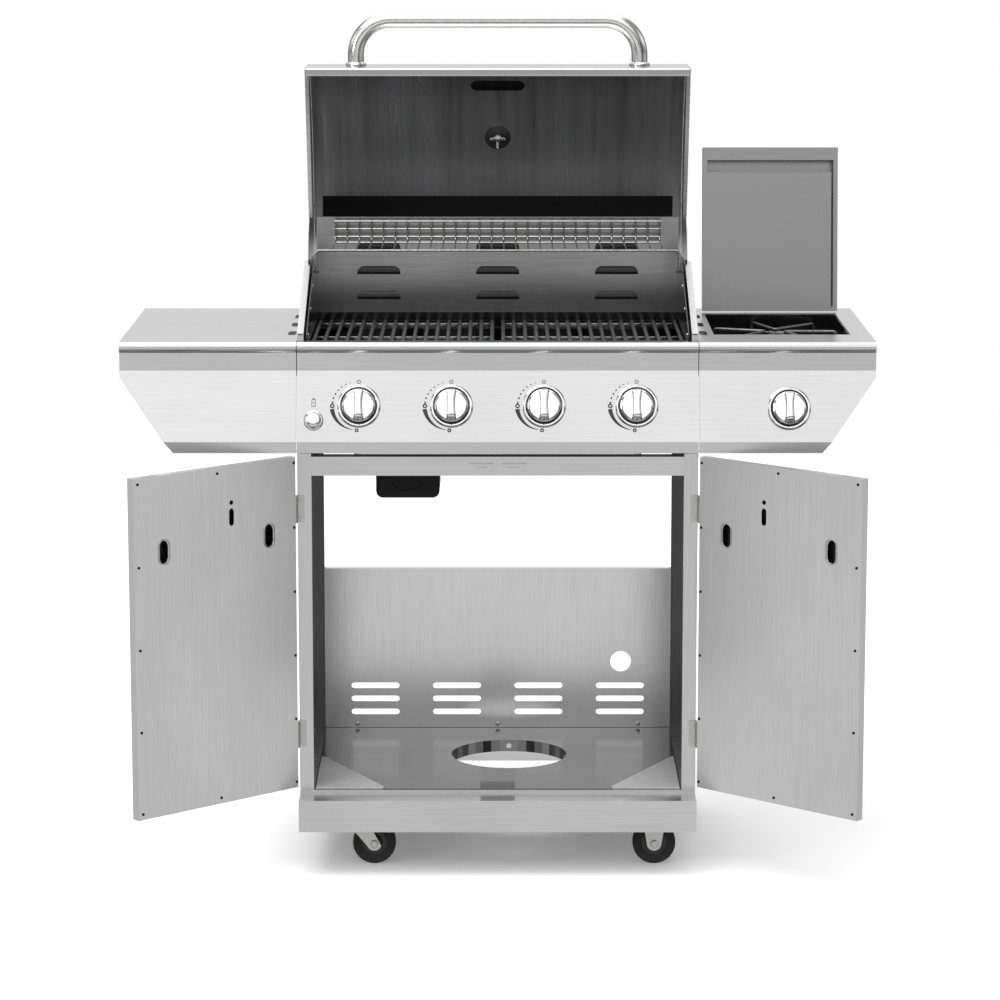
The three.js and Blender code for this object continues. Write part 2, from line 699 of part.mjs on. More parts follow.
// where the thermometer sits on the front curve, and the way it points
function thermometerSeat() {
  const face = lidFace();
  const index = face.findIndex(([y]) => y > thermometerY);
  const [y0, z0] = face[index - 1];
  const [y1, z1] = face[index];
  const t = (thermometerY - y0) / (y1 - y0);
  const along = new THREE.Vector2(y1 - y0, z1 - z0).normalize();
  return { y: thermometerY, z: z0 + t * (z1 - z0), out: new THREE.Vector3(0, -along.y, along.x) };
}

function thermometerHole(radius) {
  const seat = thermometerSeat();
  const at = (d) => [0, seat.y + seat.out.y * d, seat.z + seat.out.z * d];
  return bar(at(-12), at(12), radius, 16);
}

// The gauge outside, its stem through the skin and the bracket disc and probe inside.
function thermometer() {
  const seat = thermometerSeat();
  const origin = [0, seat.y + seat.out.y * fit, seat.z + seat.out.z * fit];
  const gauge = [[0, 0], [thermometerRadius, 0], [thermometerRadius, 7], [thermometerRadius - 3, 10], [0, 10]];
  const stem = [[0, 1], [5, 1], [5, -sheet - 2], [17, -sheet - 2], [17, -sheet - 4], [3, -sheet - 4], [3, -40],
    [0, -42]].reverse();
  return union(turned(gauge, origin, seat.out, 28), turned(stem, origin, seat.out, 16));
}

// An end cap: the lid's side outline with an ear that turns on the pivot pin.
function lidEnd() {
  const outer = -halfBody;
  const lift = 4;
  const face = lidFace();
  const edge = (y) => endEdge(y) + lift;
  const earRadius = 26;
  const tail = face[face.length - 1];
  const lower = [
    [endSlopeRearY + 9, endSlopeRear + lift], [lidFront + sheet, edge(0)],
  ];
  const ear = [
    tail, [tail[0] - 14, lidRearEnd - 22], ...arc(lidPivotY, lidPivotZ, earRadius, 0, -150, 8),
    [endSlopeRearY + 32, lidPivotZ + 10],
  ];
  const outline = [...face.slice(0, -1), ...ear, ...lower];
  const wall = alongX(outline.slice().reverse(), outer, outer + sheet);
  const flangeWidth = 7;
  const flange = alongX([
    [lidFront + sheet, edge(0)], [endSlopeRearY + 9, endSlopeRear + lift],
    [endSlopeRearY + 9, endSlopeRear + lift + sheet], [lidFront + sheet, edge(0) + sheet],
  ], outer, outer + flangeWidth);
  const hole = bar([outer - 5, lidPivotY, lidPivotZ], [outer + 5, lidPivotY, lidPivotZ], 5 + fit, 16);
  return wall.add(flange).subtract(hole);
}

// The bent tube handle with its two flange collars, standing off the flat front panel.
function lidHandle() {
  const z = lidRim + handleAboveRim;
  const root = lidFront - fit;
  const out = lidFront - handleStandoff;
  const half = handleLength / 2 - handleRadius;
  const path = new THREE.CurvePath();
  const corner = (side) => {
    const knee = new THREE.Vector3(side * half, out, z);
    const leg = new THREE.Vector3(side * half, out + handleBend, z);
    const run = new THREE.Vector3(side * (half - handleBend), out, z);
    const pull = 0.4477;
    return side < 0
      ? new THREE.CubicBezierCurve3(leg, leg.clone().lerp(knee, 1 - pull), run.clone().lerp(knee, 1 - pull), run)
      : new THREE.CubicBezierCurve3(run, run.clone().lerp(knee, 1 - pull), leg.clone().lerp(knee, 1 - pull), leg);
  };
  path.add(corner(-1));
  path.add(new THREE.LineCurve3(new THREE.Vector3(-half + handleBend, out, z), new THREE.Vector3(half - handleBend, out, z)));
  path.add(corner(1));
  const bow = tube(path, handleRadius, 12, 26);
  const legs = [-half, half].map((x) => bar([x, out + handleBend - 0.5, z], [x, root, z], handleRadius, 12));
  const collars = [-half, half].map((x) => bar([x, root - 7, z], [x, root, z], 19, 20));
  return union(bow, legs, collars);
}

// ---------------------------------------------------------------- doors
// The left door, closed: a hollow pan with its inner plate pierced by the handle openings.
function door() {
  const x0 = -halfBody + doorGap;
  const x1 = -doorGap;
  const y1 = postFace - 2.5;
  const y0 = y1 - doorThickness;
  const body = block(x0, x1, y0, y1, doorBottom, doorTop);
  const hollow = block(x0 + sheet, x1 - sheet, y0 + sheet, y1 - sheet, doorBottom + sheet, doorTop - sheet);
  let pan = body.subtract(hollow);
  const middle = (x0 + x1) / 2;
  for (const x of [middle - doorHandleSpan / 2, middle + doorHandleSpan / 2]) {
    const hole = slot(doorHandleHeight, x, 41, 20).map(([z, px]) => [px, z]).reverse();
    pan = pan.subtract(alongY(hole, y1 - 5, y1 + 5));
  }
  const keyX = -halfBody - hingeOut + 143;
  const slotHole = slot(doorTop - 88, keyX, 30, 10).map(([z, px]) => [px, z]).reverse();
  pan = pan.subtract(alongY(slotHole, y1 - 5, y1 + 5));
  return pan.subtract(bar([keyX, y1 - 5, doorTop - 63], [keyX, y1 + 5, doorTop - 63], 4, 12));
}

function doorHandle() {
  const face = postFace - 2.5 - doorThickness - fit;
  const middle = -halfBody / 2;
  const xs = [middle - doorHandleSpan / 2, middle + doorHandleSpan / 2];
  const axis = face - doorHandleStandoff;
  const grip = bar([xs[0] - 18, axis, doorHandleHeight], [xs[1] + 18, axis, doorHandleHeight], doorHandleRadius, 14);
  const posts = xs.map((x) => bar([x, axis, doorHandleHeight], [x, face, doorHandleHeight], 6, 12));
  return union(grip, posts);
}

// The fixed half of a door hinge: leaf on the post and the knuckle barrel.
function doorHinge(z) {
  const x = -halfBody - hingeOut;
  const leafBack = postFace - fit;
  const leaf = block(x, -halfBody + 12, leafBack - 1.4, leafBack, z - hingeLength / 2, z + hingeLength / 2);
  const arm = block(x - 1, x + 1, hingeY, leafBack, z - hingeLength / 2, z + hingeLength / 2);
  const barrel = bar([x, hingeY, z - hingeLength / 2], [x, hingeY, z + hingeLength / 2], 3.5, 12);
  return union(leaf, arm, barrel);
}

// ---------------------------------------------------------------- side burner
function sideBurnerBowl() {
  const gap = 0.5;
  const lip = 8;
  const top = shelfHeight - sheet - fit;
  const outer = block(wellLeft + gap, wellRight - gap, wellFront + gap, wellBack - gap, top - bowlDepth, top);
  const flange = block(wellLeft - lip, wellRight + lip, wellFront - lip, wellBack + lip, top - 1.2, top);
  const inner = block(wellLeft + gap + 1.2, wellRight - gap - 1.2, wellFront + gap + 1.2, wellBack - gap - 1.2,
    top - bowlDepth + 1.2, top + 5);
  const centre = [(wellLeft + wellRight) / 2, (wellFront + wellBack) / 2];
  const hole = bar([...centre, top - bowlDepth - 5], [...centre, top - bowlDepth + 5], 32, 24);
  return outer.add(flange).subtract(inner).subtract(hole);
}

// The round burner with its mixing tube running forward to the valve behind the fascia.
function sideBurner() {
  const x = (wellLeft + wellRight) / 2;
  const y = (wellFront + wellBack) / 2;
  const seat = shelfHeight - sheet - fit - bowlDepth;
  const head = turned([[0, seat - 22], [26, seat - 22], [30, seat - 14], [30, seat + 4], [44, seat + 12], [44, seat + 20],
    [38, seat + 25], [0, seat + 25]], [x, y, 0], axisZ, 20);
  const valve = bar(fasciaPoint(sideKnobX, sideKnobHeight, valveOut), fasciaPoint(sideKnobX, sideKnobHeight, valveOut - 24),
    10, 12);
  const bore = bar(fasciaPoint(sideKnobX, sideKnobHeight, valveOut + 1),
    fasciaPoint(sideKnobX, sideKnobHeight, valveOut - 12), stemRadius + fit, 12);
  const start = new THREE.Vector3(...fasciaPoint(sideKnobX, sideKnobHeight, valveOut - 20));
  const rise = new THREE.CubicBezierCurve3(start, start.clone().add(new THREE.Vector3(0, 90, -10)),
    new THREE.Vector3(x, y, seat - 110), new THREE.Vector3(x, y, seat - 12));
  return union(head, valve, tube(rise, 10, 8, 12)).subtract(bore);
}

// The pan support: two crossed bent bars on a rectangular wire frame.
function trivet() {
  const r = 3;
  const x = (wellLeft + wellRight) / 2;
  const y = (wellFront + wellBack) / 2;
  const halfX = (wellRight - wellLeft) / 2 - 10;
  const halfY = (wellBack - wellFront) / 2 - 10;
  const floor = shelfHeight - sheet - fit - bowlDepth + 1.2 + fit + r;
  const top = shelfHeight - 14;
  const legs = [[-1, -1], [1, -1], [1, 1], [-1, 1]].map(([sx, sy]) => {
    const foot = [x + sx * halfX, y + sy * halfY, floor];
    const shoulder = [foot[0], foot[1], top];
    const inner = [x + sx * 28, y + sy * 34, top];
    return union(bar(foot, [shoulder[0], shoulder[1], top + r], r, 8), bar(shoulder, inner, r, 8));
  });
  const ringPoints = [[-28, -34], [28, -34], [28, 34], [-28, 34]];
  const ring = ringPoints.map(([a, b], i) => {
    const [c, d] = ringPoints[(i + 1) % 4];
    return bar([x + a, y + b, top], [x + c, y + d, top], r, 8);
  });
  return union(legs, ring);
}

// The side lid, closed: a shallow pan with its front wall turned in.
function sideLid() {
  const x0 = wellLeft - sideLidSide;
  const x1 = wellRight + sideLidSide;
  const y0 = sideLidHingeY - sideLidLength;
  const y1 = sideLidHingeY + 4;
  const z0 = shelfHeight + sideLidLift;
  const z1 = z0 + sideLidDepth;
  const flange = 8;
  const shell = block(x0, x1, y0, y1, z0, z1);
  const hollow = block(x0 + sheet, x1 - sheet, y0 + sheet, y1 - sheet, z0 + sheet, z1 - sheet);
  const mouth = block(x0 + flange, x1 - flange, y0 + 23, y1 - flange, z0 - 5, z0 + 5);
  return shell.subtract(hollow).subtract(mouth);
}

// ---------------------------------------------------------------- controls
function knobStem(x, height) {
  return bar(fasciaPoint(x, height, valveOut - 12 + stemPush + 1), fasciaPoint(x, height, 22), stemRadius, 12);
}

// A knob: a stepped round skirt with a waisted grip bar across it.
function knob(x, height) {
  const base = fasciaPoint(x, height, 5);
  const profile = [[0, 0], [knobRadius - 2, 0], [knobRadius, 3], [knobRadius, 9], [knobRadius - 3, 12], [0, 14]];
  const skirt = turned(profile, base, panelNormal, 20);
  const grip = prism([[-8, -27], [8, -27], [5.5, 0], [8, 27], [-8, 27], [-5.5, 0]], 14, 1, new THREE.Matrix4());
  const turn = new THREE.Matrix4().makeBasis(axisX, new THREE.Vector3().crossVectors(panelNormal, axisX), panelNormal);
  turn.setPosition(...fasciaPoint(x, height, 5 + 10));
  const bore = bar(fasciaPoint(x, height, 0), fasciaPoint(x, height, 5 + 17 + fit), stemRadius + fit, 12);
  return skirt.add(grip.transform(turn.elements)).subtract(bore);
}

function igniterButton() {
  const length = 22;
  return bar(fasciaPoint(buttonX, buttonHeight, -8), fasciaPoint(buttonX, buttonHeight, length - 8), buttonRadius, 24);
}

// ---------------------------------------------------------------- grease tray and cup
function greaseTray() {
  const half = trayHalfWidth;
  const y0 = fireboxFront + 20;
  const y1 = bodyBack - 10;
  const z0 = trayTop - trayDepth;
  const pan = block(-half, half, y0, y1, z0, trayTop);
  const inside = block(-half + sheet, half - sheet, y0 + sheet, y1 - sheet, z0 + sheet, trayTop + 5);
  const drain = bar([cupX, y0 + 75, z0 - 5], [cupX, y0 + 75, z0 + 5], 12, 16);
  const runners = [-1, 1].map((side) => {
    const outerX = cupX + side * (cupWidth / 2 + 6);
    const innerX = cupX + side * (cupWidth / 2 + 1);
    const profile = [[outerX, z0 + 0.5], [outerX, z0 - 5], [innerX, z0 - 5], [innerX, z0 - 3.5],
      [outerX - side * 1.5, z0 - 3.5], [outerX - side * 1.5, z0 + 0.5]];
    return alongY(side > 0 ? profile.slice().reverse() : profile, y0 + 20, y0 + 130);
  });
  return union(pan, runners).subtract(inside).subtract(drain);
}

// The grease cup: a small open box that hangs by its side lips under the tray.
function greaseCup() {
  const y0 = fireboxFront + 40;
  const y1 = y0 + 110;
  const top = trayTop - trayDepth - 1;
  const half = cupWidth / 2;
  const r = 12;
  const front = [[cupX - half, top], ...arc(cupX - half + r, top - cupHeight + r, r, 180, 270, 4),
    ...arc(cupX + half - r, top - cupHeight + r, r, 270, 360, 4), [cupX + half, top]];
  const wall = 2;
  const inner = [[cupX - half + wall, top + 5], ...arc(cupX - half + r, top - cupHeight + r, r - wall, 180, 270, 4),
    ...arc(cupX + half - r, top - cupHeight + r, r - wall, 270, 360, 4), [cupX + half - wall, top + 5]];
  const shell = alongY(front, y0, y1).subtract(alongY(inner, y0 + wall, y1 - wall));
  const lips = [-1, 1].map((side) => {
    const a = cupX + side * (half - 1);
    const b = cupX + side * (half + 4);
    return block(Math.min(a, b), Math.max(a, b), y0, y1, top - 2, top - 0.5);
  });
  return union(shell, lips);
}

// ---------------------------------------------------------------- assembly
add('base_frame', baseFrame(), brushed);
add('bottom_panel', bottomPanel(), brushed);
addPair('side_panel', sidePanel(), brushed);
add('rear_panel', rearPanel(), brushed);
add('header_beam', headerBeam(), brushed);

casterY.forEach((y, i) => {
  const place = ['front', 'rear'][i];
  add(`caster_fork_${place}_left`, casterFork(swivelCasterX, swivelCasterX + casterTrail, y), enamel);
  add(`caster_fork_${place}_right`, casterFork(fixedCasterX, fixedCasterX, y), enamel);
  add(`wheel_${place}_left`, wheel(swivelCasterX + casterTrail, y), rubber);
  add(`wheel_${place}_right`, wheel(fixedCasterX, y), rubber);
});

add('control_panel', controlPanel(), whiteSteel);
add('shelf_left', sideShelf(-1), whiteSteel);
const well = block(wellLeft, wellRight, wellFront, wellBack, shelfHeight - 10, shelfHeight + 10);
const rightShelf = sideShelf(1).subtract(well);
add('shelf_right', rightShelf.subtract(fasciaHole(sideKnobX, sideKnobHeight, stemRadius + 3)), whiteSteel);

add('firebox', firebox(), enamel);
add('rear_baffle', rearBaffle(), brushed);
addPair('firebox_end', fireboxEnd(), enamel);
add('burner_rail', burnerRail(), brushed);
burnerXs.forEach((x, i) => add(`flame_tamer_${i + 1}`, flameTamer(x), brushed));
add('cooking_grate_left', cookingGrate(-1), castIron);
add('cooking_grate_right', cookingGrate(1), castIron);
add('warming_rack', warmingRack(), polished);

const lid = turnedGroup(0, lidPivotY, lidPivotZ, axisX, -lidOpen);
add('lid_shell', lidShell(), brushed, lid);
addPair('lid_end', lidEnd(), enamel, lid, lid);
add('lid_handle', lidHandle(), polished, lid);
add('thermometer', thermometer(), polished, lid);

const leftDoor = turnedGroup(-halfBody - hingeOut, hingeY, 0, axisZ, -doorOpen);
const rightDoor = turnedGroup(halfBody + hingeOut, hingeY, 0, axisZ, doorOpen);
addPair('door', door(), brushed, leftDoor, rightDoor);
addPair('door_handle', doorHandle(), polished, leftDoor, rightDoor);
hingeHeights.forEach((z, i) => addPair(`hinge_${['lower', 'upper'][i]}`, doorHinge(z), brushed));

add('side_burner_bowl', sideBurnerBowl(), enamel);
add('side_burner', sideBurner(), castIron);
add('trivet', trivet(), enamel);
const sideLidGroup = turnedGroup(0, sideLidHingeY, shelfHeight + sideLidHingeZ, axisX, -sideLidOpen);
add('side_lid', sideLid(), brushed, sideLidGroup);

const knobPlaces = [...burnerXs.map((x) => [x, knobHeight]), [sideKnobX, sideKnobHeight]];
knobPlaces.forEach(([x, height], i) => {
  add(`knob_stem_${i + 1}`, knobStem(x, height), brushed);
  add(`knob_${i + 1}`, knob(x, height), polished);
});
add('igniter_button', igniterButton(), polished);
add('grease_tray', greaseTray(), brushed);
add('grease_cup', greaseCup(), blackPlastic);

// The origin is on the floor, under the middle of the whole open grill.
const box = new THREE.Box3().setFromObject(grill);
grill.position.set(-(box.min.x + box.max.x) / 2, -(box.min.y + box.max.y) / 2, -box.min.z);

export default grill;
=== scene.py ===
# %% [markdown]
# # A gas barbecue grill, dressed in Blender
# The grill's sheet metal, tubes and hinges already exist as a fixed frame of CAD pieces, each with
# its real size and place. This lesson adds what the eye looks for on such a grill: satin stainless
# steel, chrome knobs with a waisted grip, round grate rods, bent rack wire, a smooth curved lid.
# Every new piece is a surface worked out with numpy, so its shape can be read as a formula.

import json
import math

import bmesh
import bpy
import numpy as np
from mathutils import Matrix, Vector


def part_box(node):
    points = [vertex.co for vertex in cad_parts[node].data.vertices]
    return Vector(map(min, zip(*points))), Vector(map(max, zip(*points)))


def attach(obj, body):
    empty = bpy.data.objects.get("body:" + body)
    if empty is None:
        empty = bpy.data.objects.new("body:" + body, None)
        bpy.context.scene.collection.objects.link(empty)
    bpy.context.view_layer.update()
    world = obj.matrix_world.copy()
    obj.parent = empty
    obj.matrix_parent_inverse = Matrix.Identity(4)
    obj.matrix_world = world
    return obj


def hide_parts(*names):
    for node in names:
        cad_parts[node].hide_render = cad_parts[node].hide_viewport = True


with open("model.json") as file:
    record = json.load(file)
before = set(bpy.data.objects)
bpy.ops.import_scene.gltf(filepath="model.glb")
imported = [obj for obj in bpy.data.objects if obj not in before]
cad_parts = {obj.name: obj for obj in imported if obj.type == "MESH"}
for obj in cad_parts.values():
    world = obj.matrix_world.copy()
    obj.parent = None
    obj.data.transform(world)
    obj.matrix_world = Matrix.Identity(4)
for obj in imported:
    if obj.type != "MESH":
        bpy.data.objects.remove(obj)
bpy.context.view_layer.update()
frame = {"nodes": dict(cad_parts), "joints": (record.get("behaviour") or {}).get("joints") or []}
joints = {j["name"]: j for j in frame["joints"]}
nodes = frame["nodes"]

# %% [markdown]
# ## Reading positions off the frame
# Lengths in this file are written in millimetres, as on a drawing. Boxes and pivots of the frame
# become millimetres as they are read, and `piece` turns each new surface back to metres once.

# %% Boxes and millimetres
mm = 0.001
X, Y, Z = np.eye(3)
SIDES = (("left", -1), ("right", 1))


def box(node):
    """Lowest and highest corner of a CAD node in millimetres, as two arrays."""
    low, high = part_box(node)
    return np.array(low) / mm, np.array(high) / mm


def pivot(joint):
    """The point a joint turns about, in millimetres."""
    return np.array(joints[joint]["pos_m"], float) / mm


def vec(*xyz):
    return np.array(xyz, float)


def spread(x, y, z):
    """Three coordinates, each a number or an array, stretched to one grid of points."""
    return np.stack(np.broadcast_arrays(x, y, z), axis=-1)


print("lid pivot", pivot("lid_hinge"), "shelf top", round(float(box("shelf_left")[1][2]), 1))

# %% [markdown]
# ## Surfaces from grids
# Almost every shape here is a grid of points: rows are stations along the shape, columns go round
# its section. Neighbouring grid points make four-sided faces, and flat ends are closed by one
# face each. A `part` is just such a pair (points, faces), so parts can be copied and joined.

# %% Grid, tube, lathe, plate and row
def grid(points, closed_rows=False):
    """Faces over a grid of points: face (i, j) joins points (i, j), (i+1, j), (i+1, j+1), (i, j+1).
    The columns always close on themselves; the rows do so when the shape is a ring."""
    rows, columns = points.shape[:2]
    index = np.arange(rows * columns).reshape(rows, columns)
    below = index if closed_rows else index[:-1]
    above = np.roll(index, -1, axis=0) if closed_rows else index[1:]
    quads = np.stack([below, np.roll(below, -1, 1), np.roll(above, -1, 1), above], axis=-1)
    faces = quads.reshape(-1, 4).tolist()
    if not closed_rows:
        faces += [index[0][::-1].tolist(), index[-1].tolist()]
    return points.reshape(-1, 3), faces


def full_turn(sides):
    return np.linspace(0, 2 * np.pi, sides, endpoint=False)


def across(direction):
    """Two unit vectors square to a direction and to each other."""
    d = np.asarray(direction, float) / np.linalg.norm(direction)
    u = np.cross(Z if abs(d[2]) < 0.9 else X, d)
    u /= np.linalg.norm(u)
    return u, np.cross(d, u)


def units(vectors):
    return vectors / np.linalg.norm(vectors, axis=-1, keepdims=True)


def tube(path, radius, sides, bend_normal):
    """A circle carried along a path that bends in one plane: each ring is centre + radius times
    (cos t times the bend normal + sin t times tangent cross bend normal)."""
    path = np.asarray(path, float)
    tangent = units(np.gradient(path, axis=0))
    side = units(np.cross(tangent, bend_normal))
    up = np.cross(side, tangent)
    t = full_turn(sides)[None, :, None]
    return grid(path[:, None] + radius * (np.cos(t) * up[:, None] + np.sin(t) * side[:, None]))


def lathe(profile, centre, axis, sides=48, ring=False):
    """A profile of (radius, height) pairs turned round an axis: centre + height times axis +
    radius times (cos t times u + sin t times v). A ring joins the profile's end to its start."""
    profile = np.asarray(profile, float)
    u, v = across(axis)
    t = full_turn(sides)
    circle = np.cos(t)[:, None] * u + np.sin(t)[:, None] * v
    heights, radii = profile[:, 1, None, None], profile[:, 0, None, None]
    return grid(centre + heights * axis + radii * circle[None], closed_rows=ring)


def turned(profile, place, sides=48, ring=False):
    """A lathe in a placed frame: radius times (cos t, sin t), with the profile's own height."""
    profile = np.asarray(profile, float)
    t = full_turn(sides)
    radius, height = profile[:, :1], profile[:, 1:]
    return grid(place(spread(radius * np.cos(t), radius * np.sin(t), height)), closed_rows=ring)


def plate(outline, low, high, place=lambda p: p, round_edge=0.0):
    """An outline swept from height low to high. With a round edge the outline shrinks by
    r(1 - cos a) while it rises by r sin a, a quarter turn in all. `place` maps (x, y, height)
    columns to space."""
    outline = np.asarray(outline, float)
    middle = outline.mean(0)
    size = np.abs(outline - middle).max(0)
    a = np.linspace(0, np.pi / 2, 4) if round_edge else np.zeros(1)
    rise = high - round_edge + round_edge * np.sin(a)
    shrink = 1 - round_edge * (1 - np.cos(a))[:, None] / size[None]
    rings = middle + (outline - middle)[None] * shrink[:, None]
    top = spread(rings[..., 0], rings[..., 1], rise[:, None])
    bottom = spread(outline[:, 0], outline[:, 1], low)
    return grid(place(np.concatenate([bottom[None], top])))


def row(part, offsets):
    """Copies of one part, each moved by one offset: points[k] = points + offset[k]."""
    points, faces = part
    moved = (points[None] + offsets[:, None]).reshape(-1, 3)
    copies = [[v + k * len(points) for v in face] for k in range(len(offsets)) for face in faces]
    return moved, copies


# %% [markdown]
# ## Lines and outlines
# A surface needs a line to follow or to fill: an arc, a rectangle, the outline of a slot, or a
# bent path. A rounded corner is a curve that leaves one straight run and joins the next.

# %% Arc, rectangle, slot and bent path
def arc(cy, cz, radius, start, end, steps):
    a = np.radians(np.linspace(start, end, steps + 1))
    return np.stack([cy + radius * np.cos(a), cz + radius * np.sin(a)], axis=1)


def rectangle(x0, x1, y0, y1):
    return np.array([(x0, y0), (x1, y0), (x1, y1), (x0, y1)], float)


def bar_outline(length, width):
    """A slot outline: two half circles joined by straight runs."""
    r, run = width / 2, (length - width) / 2
    return np.concatenate([arc(run, 0, r, -90, 90, 8), arc(-run, 0, r, 90, 270, 8)])


def spin(points, a):
    """Points turned by angle a in plan: (x cos a - y sin a, x sin a + y cos a)."""
    x, y = points[:, :1], points[:, 1:2]
    plan = [x * math.cos(a) - y * math.sin(a), x * math.sin(a) + y * math.cos(a)]
    return np.concatenate([*plan, points[:, 2:]], axis=1)


def smooth_path(corners, radius, steps=6):
    """A path of straight runs whose corners are rounded by the curve (1-t)^2 a + 2t(1-t) c + t^2 b,
    where a and b lie a radius before and after corner c."""
    c = np.asarray(corners, float)
    into, out = c[1:-1] - c[:-2], c[2:] - c[1:-1]
    shorter = np.minimum(np.linalg.norm(into, axis=1), np.linalg.norm(out, axis=1))[:, None]
    reach = np.minimum(radius, 0.49 * shorter)
    a, b = c[1:-1] - units(into) * reach, c[1:-1] + units(out) * reach
    t = np.linspace(0, 1, steps)[None, :, None]
    curve = (1 - t) ** 2 * a[:, None] + 2 * t * (1 - t) * c[1:-1][:, None] + t**2 * b[:, None]
    return np.concatenate([c[:1], curve.reshape(-1, 3), c[-1:]])


# %% [markdown]
# ## From part to object
# `piece` joins parts into one mesh, turns its faces outwards, shades it smooth but keeps edges
# sharper than 35 degrees crisp, rides it on a body of the frame and gives it its materials.

# %% Make a piece
def piece(name, parts, body, material, replaces=(), finishes=None, extra=()):
    """`finishes` holds one number per part, or one per face of it: 0 is `material`, 1 and 2 are
    the extra materials."""
    points, faces, start = [], [], 0
    for part_points, part_faces in parts:
        points.append(part_points)
        faces += [[v + start for v in face] for face in part_faces]
        start += len(part_points)
    mesh = bpy.data.meshes.new(name)
    mesh.from_pydata(np.concatenate(points) * mm, [], faces)
    mesh.update()
    outward(mesh)
    mesh.shade_smooth()
    mesh.set_sharp_from_angle(angle=math.radians(35))
    for each in (material, *extra):
        mesh.materials.append(each)
    if finishes is not None:
        per_face = [np.broadcast_to(f, len(part[1])) for f, part in zip(finishes, parts, strict=True)]
        mesh.polygons.foreach_set("material_index", np.concatenate(per_face).astype(np.int32))
    thing = bpy.data.objects.new(name, mesh)
    bpy.context.scene.collection.objects.link(thing)
    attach(thing, body)
    if replaces:
        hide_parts(*replaces)
    print(f"{name}: {len(mesh.vertices)} points, {len(mesh.polygons)} faces on {body}")
    return thing


def outward(mesh):
    """Turns every closed shell so that its faces point out of the solid."""
    work = bmesh.new()
    work.from_mesh(mesh)
    bmesh.ops.recalc_face_normals(work, faces=work.faces)
    work.to_mesh(mesh)
    work.free()


# %% [markdown]
# ## Colours and nodes
# Colours are picked as sRGB hex values, but a shader counts light, so one function turns each
# to linear. Two more small functions add a node with its sockets wired, and a colour ramp.

# %% Colour and node helpers
def colour(hex_code):
    s = np.array([int(hex_code[i : i + 2], 16) for i in (0, 2, 4)]) / 255
    linear = np.where(s <= 0.04045, s / 12.92, ((s + 0.055) / 1.055) ** 2.4)
    return (*linear.tolist(), 1.0)


def add_node(tree, kind, links=None, **settings):
    """Adds a node; settings name its properties or its sockets, links wire its sockets."""
    node = tree.nodes.new(kind)
    for key, value in settings.items():
        if hasattr(node, key):
            setattr(node, key, value)
        else:
            node.inputs[key.replace("_", " ")].default_value = value
    for socket, source in (links or {}).items():
        tree.links.new(source, node.inputs[socket])
    return node


def ramp(tree, factor, stops):
    """A colour ramp through (place, colour) stops."""
    node = add_node(tree, "ShaderNodeValToRGB", {"Fac": factor})
    elements = node.color_ramp.elements
    while len(elements) < len(stops):
        elements.new(0.5)
    for element, (place, shade) in zip(elements, stops):
        element.position, element.color = place, shade
    return node.outputs["Color"]


def new_material(name, base, metallic, roughness, **sockets):
    material = bpy.data.materials.new(name)
    material.use_nodes = True
    shader = material.node_tree.nodes["Principled BSDF"]
    shader.inputs["Base Color"].default_value = colour(base)
    shader.inputs["Metallic"].default_value = metallic
    shader.inputs["Roughness"].default_value = roughness
    for key, value in sockets.items():
        shader.inputs[key.replace("_", " ")].default_value = value
    return material, shader


def weathered(tree, shader, tone, stops, roughness, height, bump, depth):
    """Wires a tone noise to colour and roughness, and a height noise to the tilt of the skin."""
    rough = add_node(tree, "ShaderNodeMapRange", {"Value": tone},
                     From_Min=0.3, From_Max=0.7, To_Min=roughness[0], To_Max=roughness[1])
    skin = add_node(tree, "ShaderNodeBump", {"Height": height}, Strength=bump, Distance=depth * mm)
    tree.links.new(ramp(tree, tone, stops), shader.inputs["Base Color"])
    tree.links.new(rough.outputs["Result"], shader.inputs["Roughness"])
    tree.links.new(skin.outputs["Normal"], shader.inputs["Normal"])


# %% [markdown]
# ## Satin stainless steel
# Grill sheet is type 430 or 304 stainless, drawn under an abrasive belt: a "number 4" finish. The
# belt leaves parallel scratches about 0.1 mm apart, which stretch every highlight. Real scratches
# are far too fine for a picture of the whole grill, so these are drawn about 1 mm wide and 120 mm
# long. The scratches change roughness a little and tilt the surface a little; the colour varies
# by a few per cent, as rolled sheet does.

# %% Brushed sheet
def brushed(name, base, dark, roughness, along, fine=1.1, reach=120, bump=0.1, cloud=0.35):
    """Noise squeezed across the belt's direction gives scratches; a broad soft noise gives the
    slow change of tone of rolled sheet."""
    material, shader = new_material(name, base, 1.0, roughness)
    tree = material.node_tree
    where = add_node(tree, "ShaderNodeTexCoord").outputs["Object"]
    scale = [1 / ((reach if axis in along else fine) * mm) for axis in "XYZ"]
    stretch = add_node(tree, "ShaderNodeMapping", {"Vector": where}, Scale=scale).outputs[0]
    lines = add_node(tree, "ShaderNodeTexNoise", {"Vector": stretch}, Scale=1.0, Detail=3.0, Roughness=0.6)
    broad = add_node(tree, "ShaderNodeTexNoise", {"Vector": where}, Scale=3.2, Detail=2.0)
    both = {"A": lines.outputs["Fac"], "B": broad.outputs["Fac"]}
    tone = add_node(tree, "ShaderNodeMix", both, Factor=cloud).outputs["Result"]
    weathered(tree, shader, tone, [(0.3, colour(dark)), (0.7, colour(base))],
              (roughness + 0.05, roughness - 0.05), lines.outputs["Fac"], bump, 0.05)
    return material


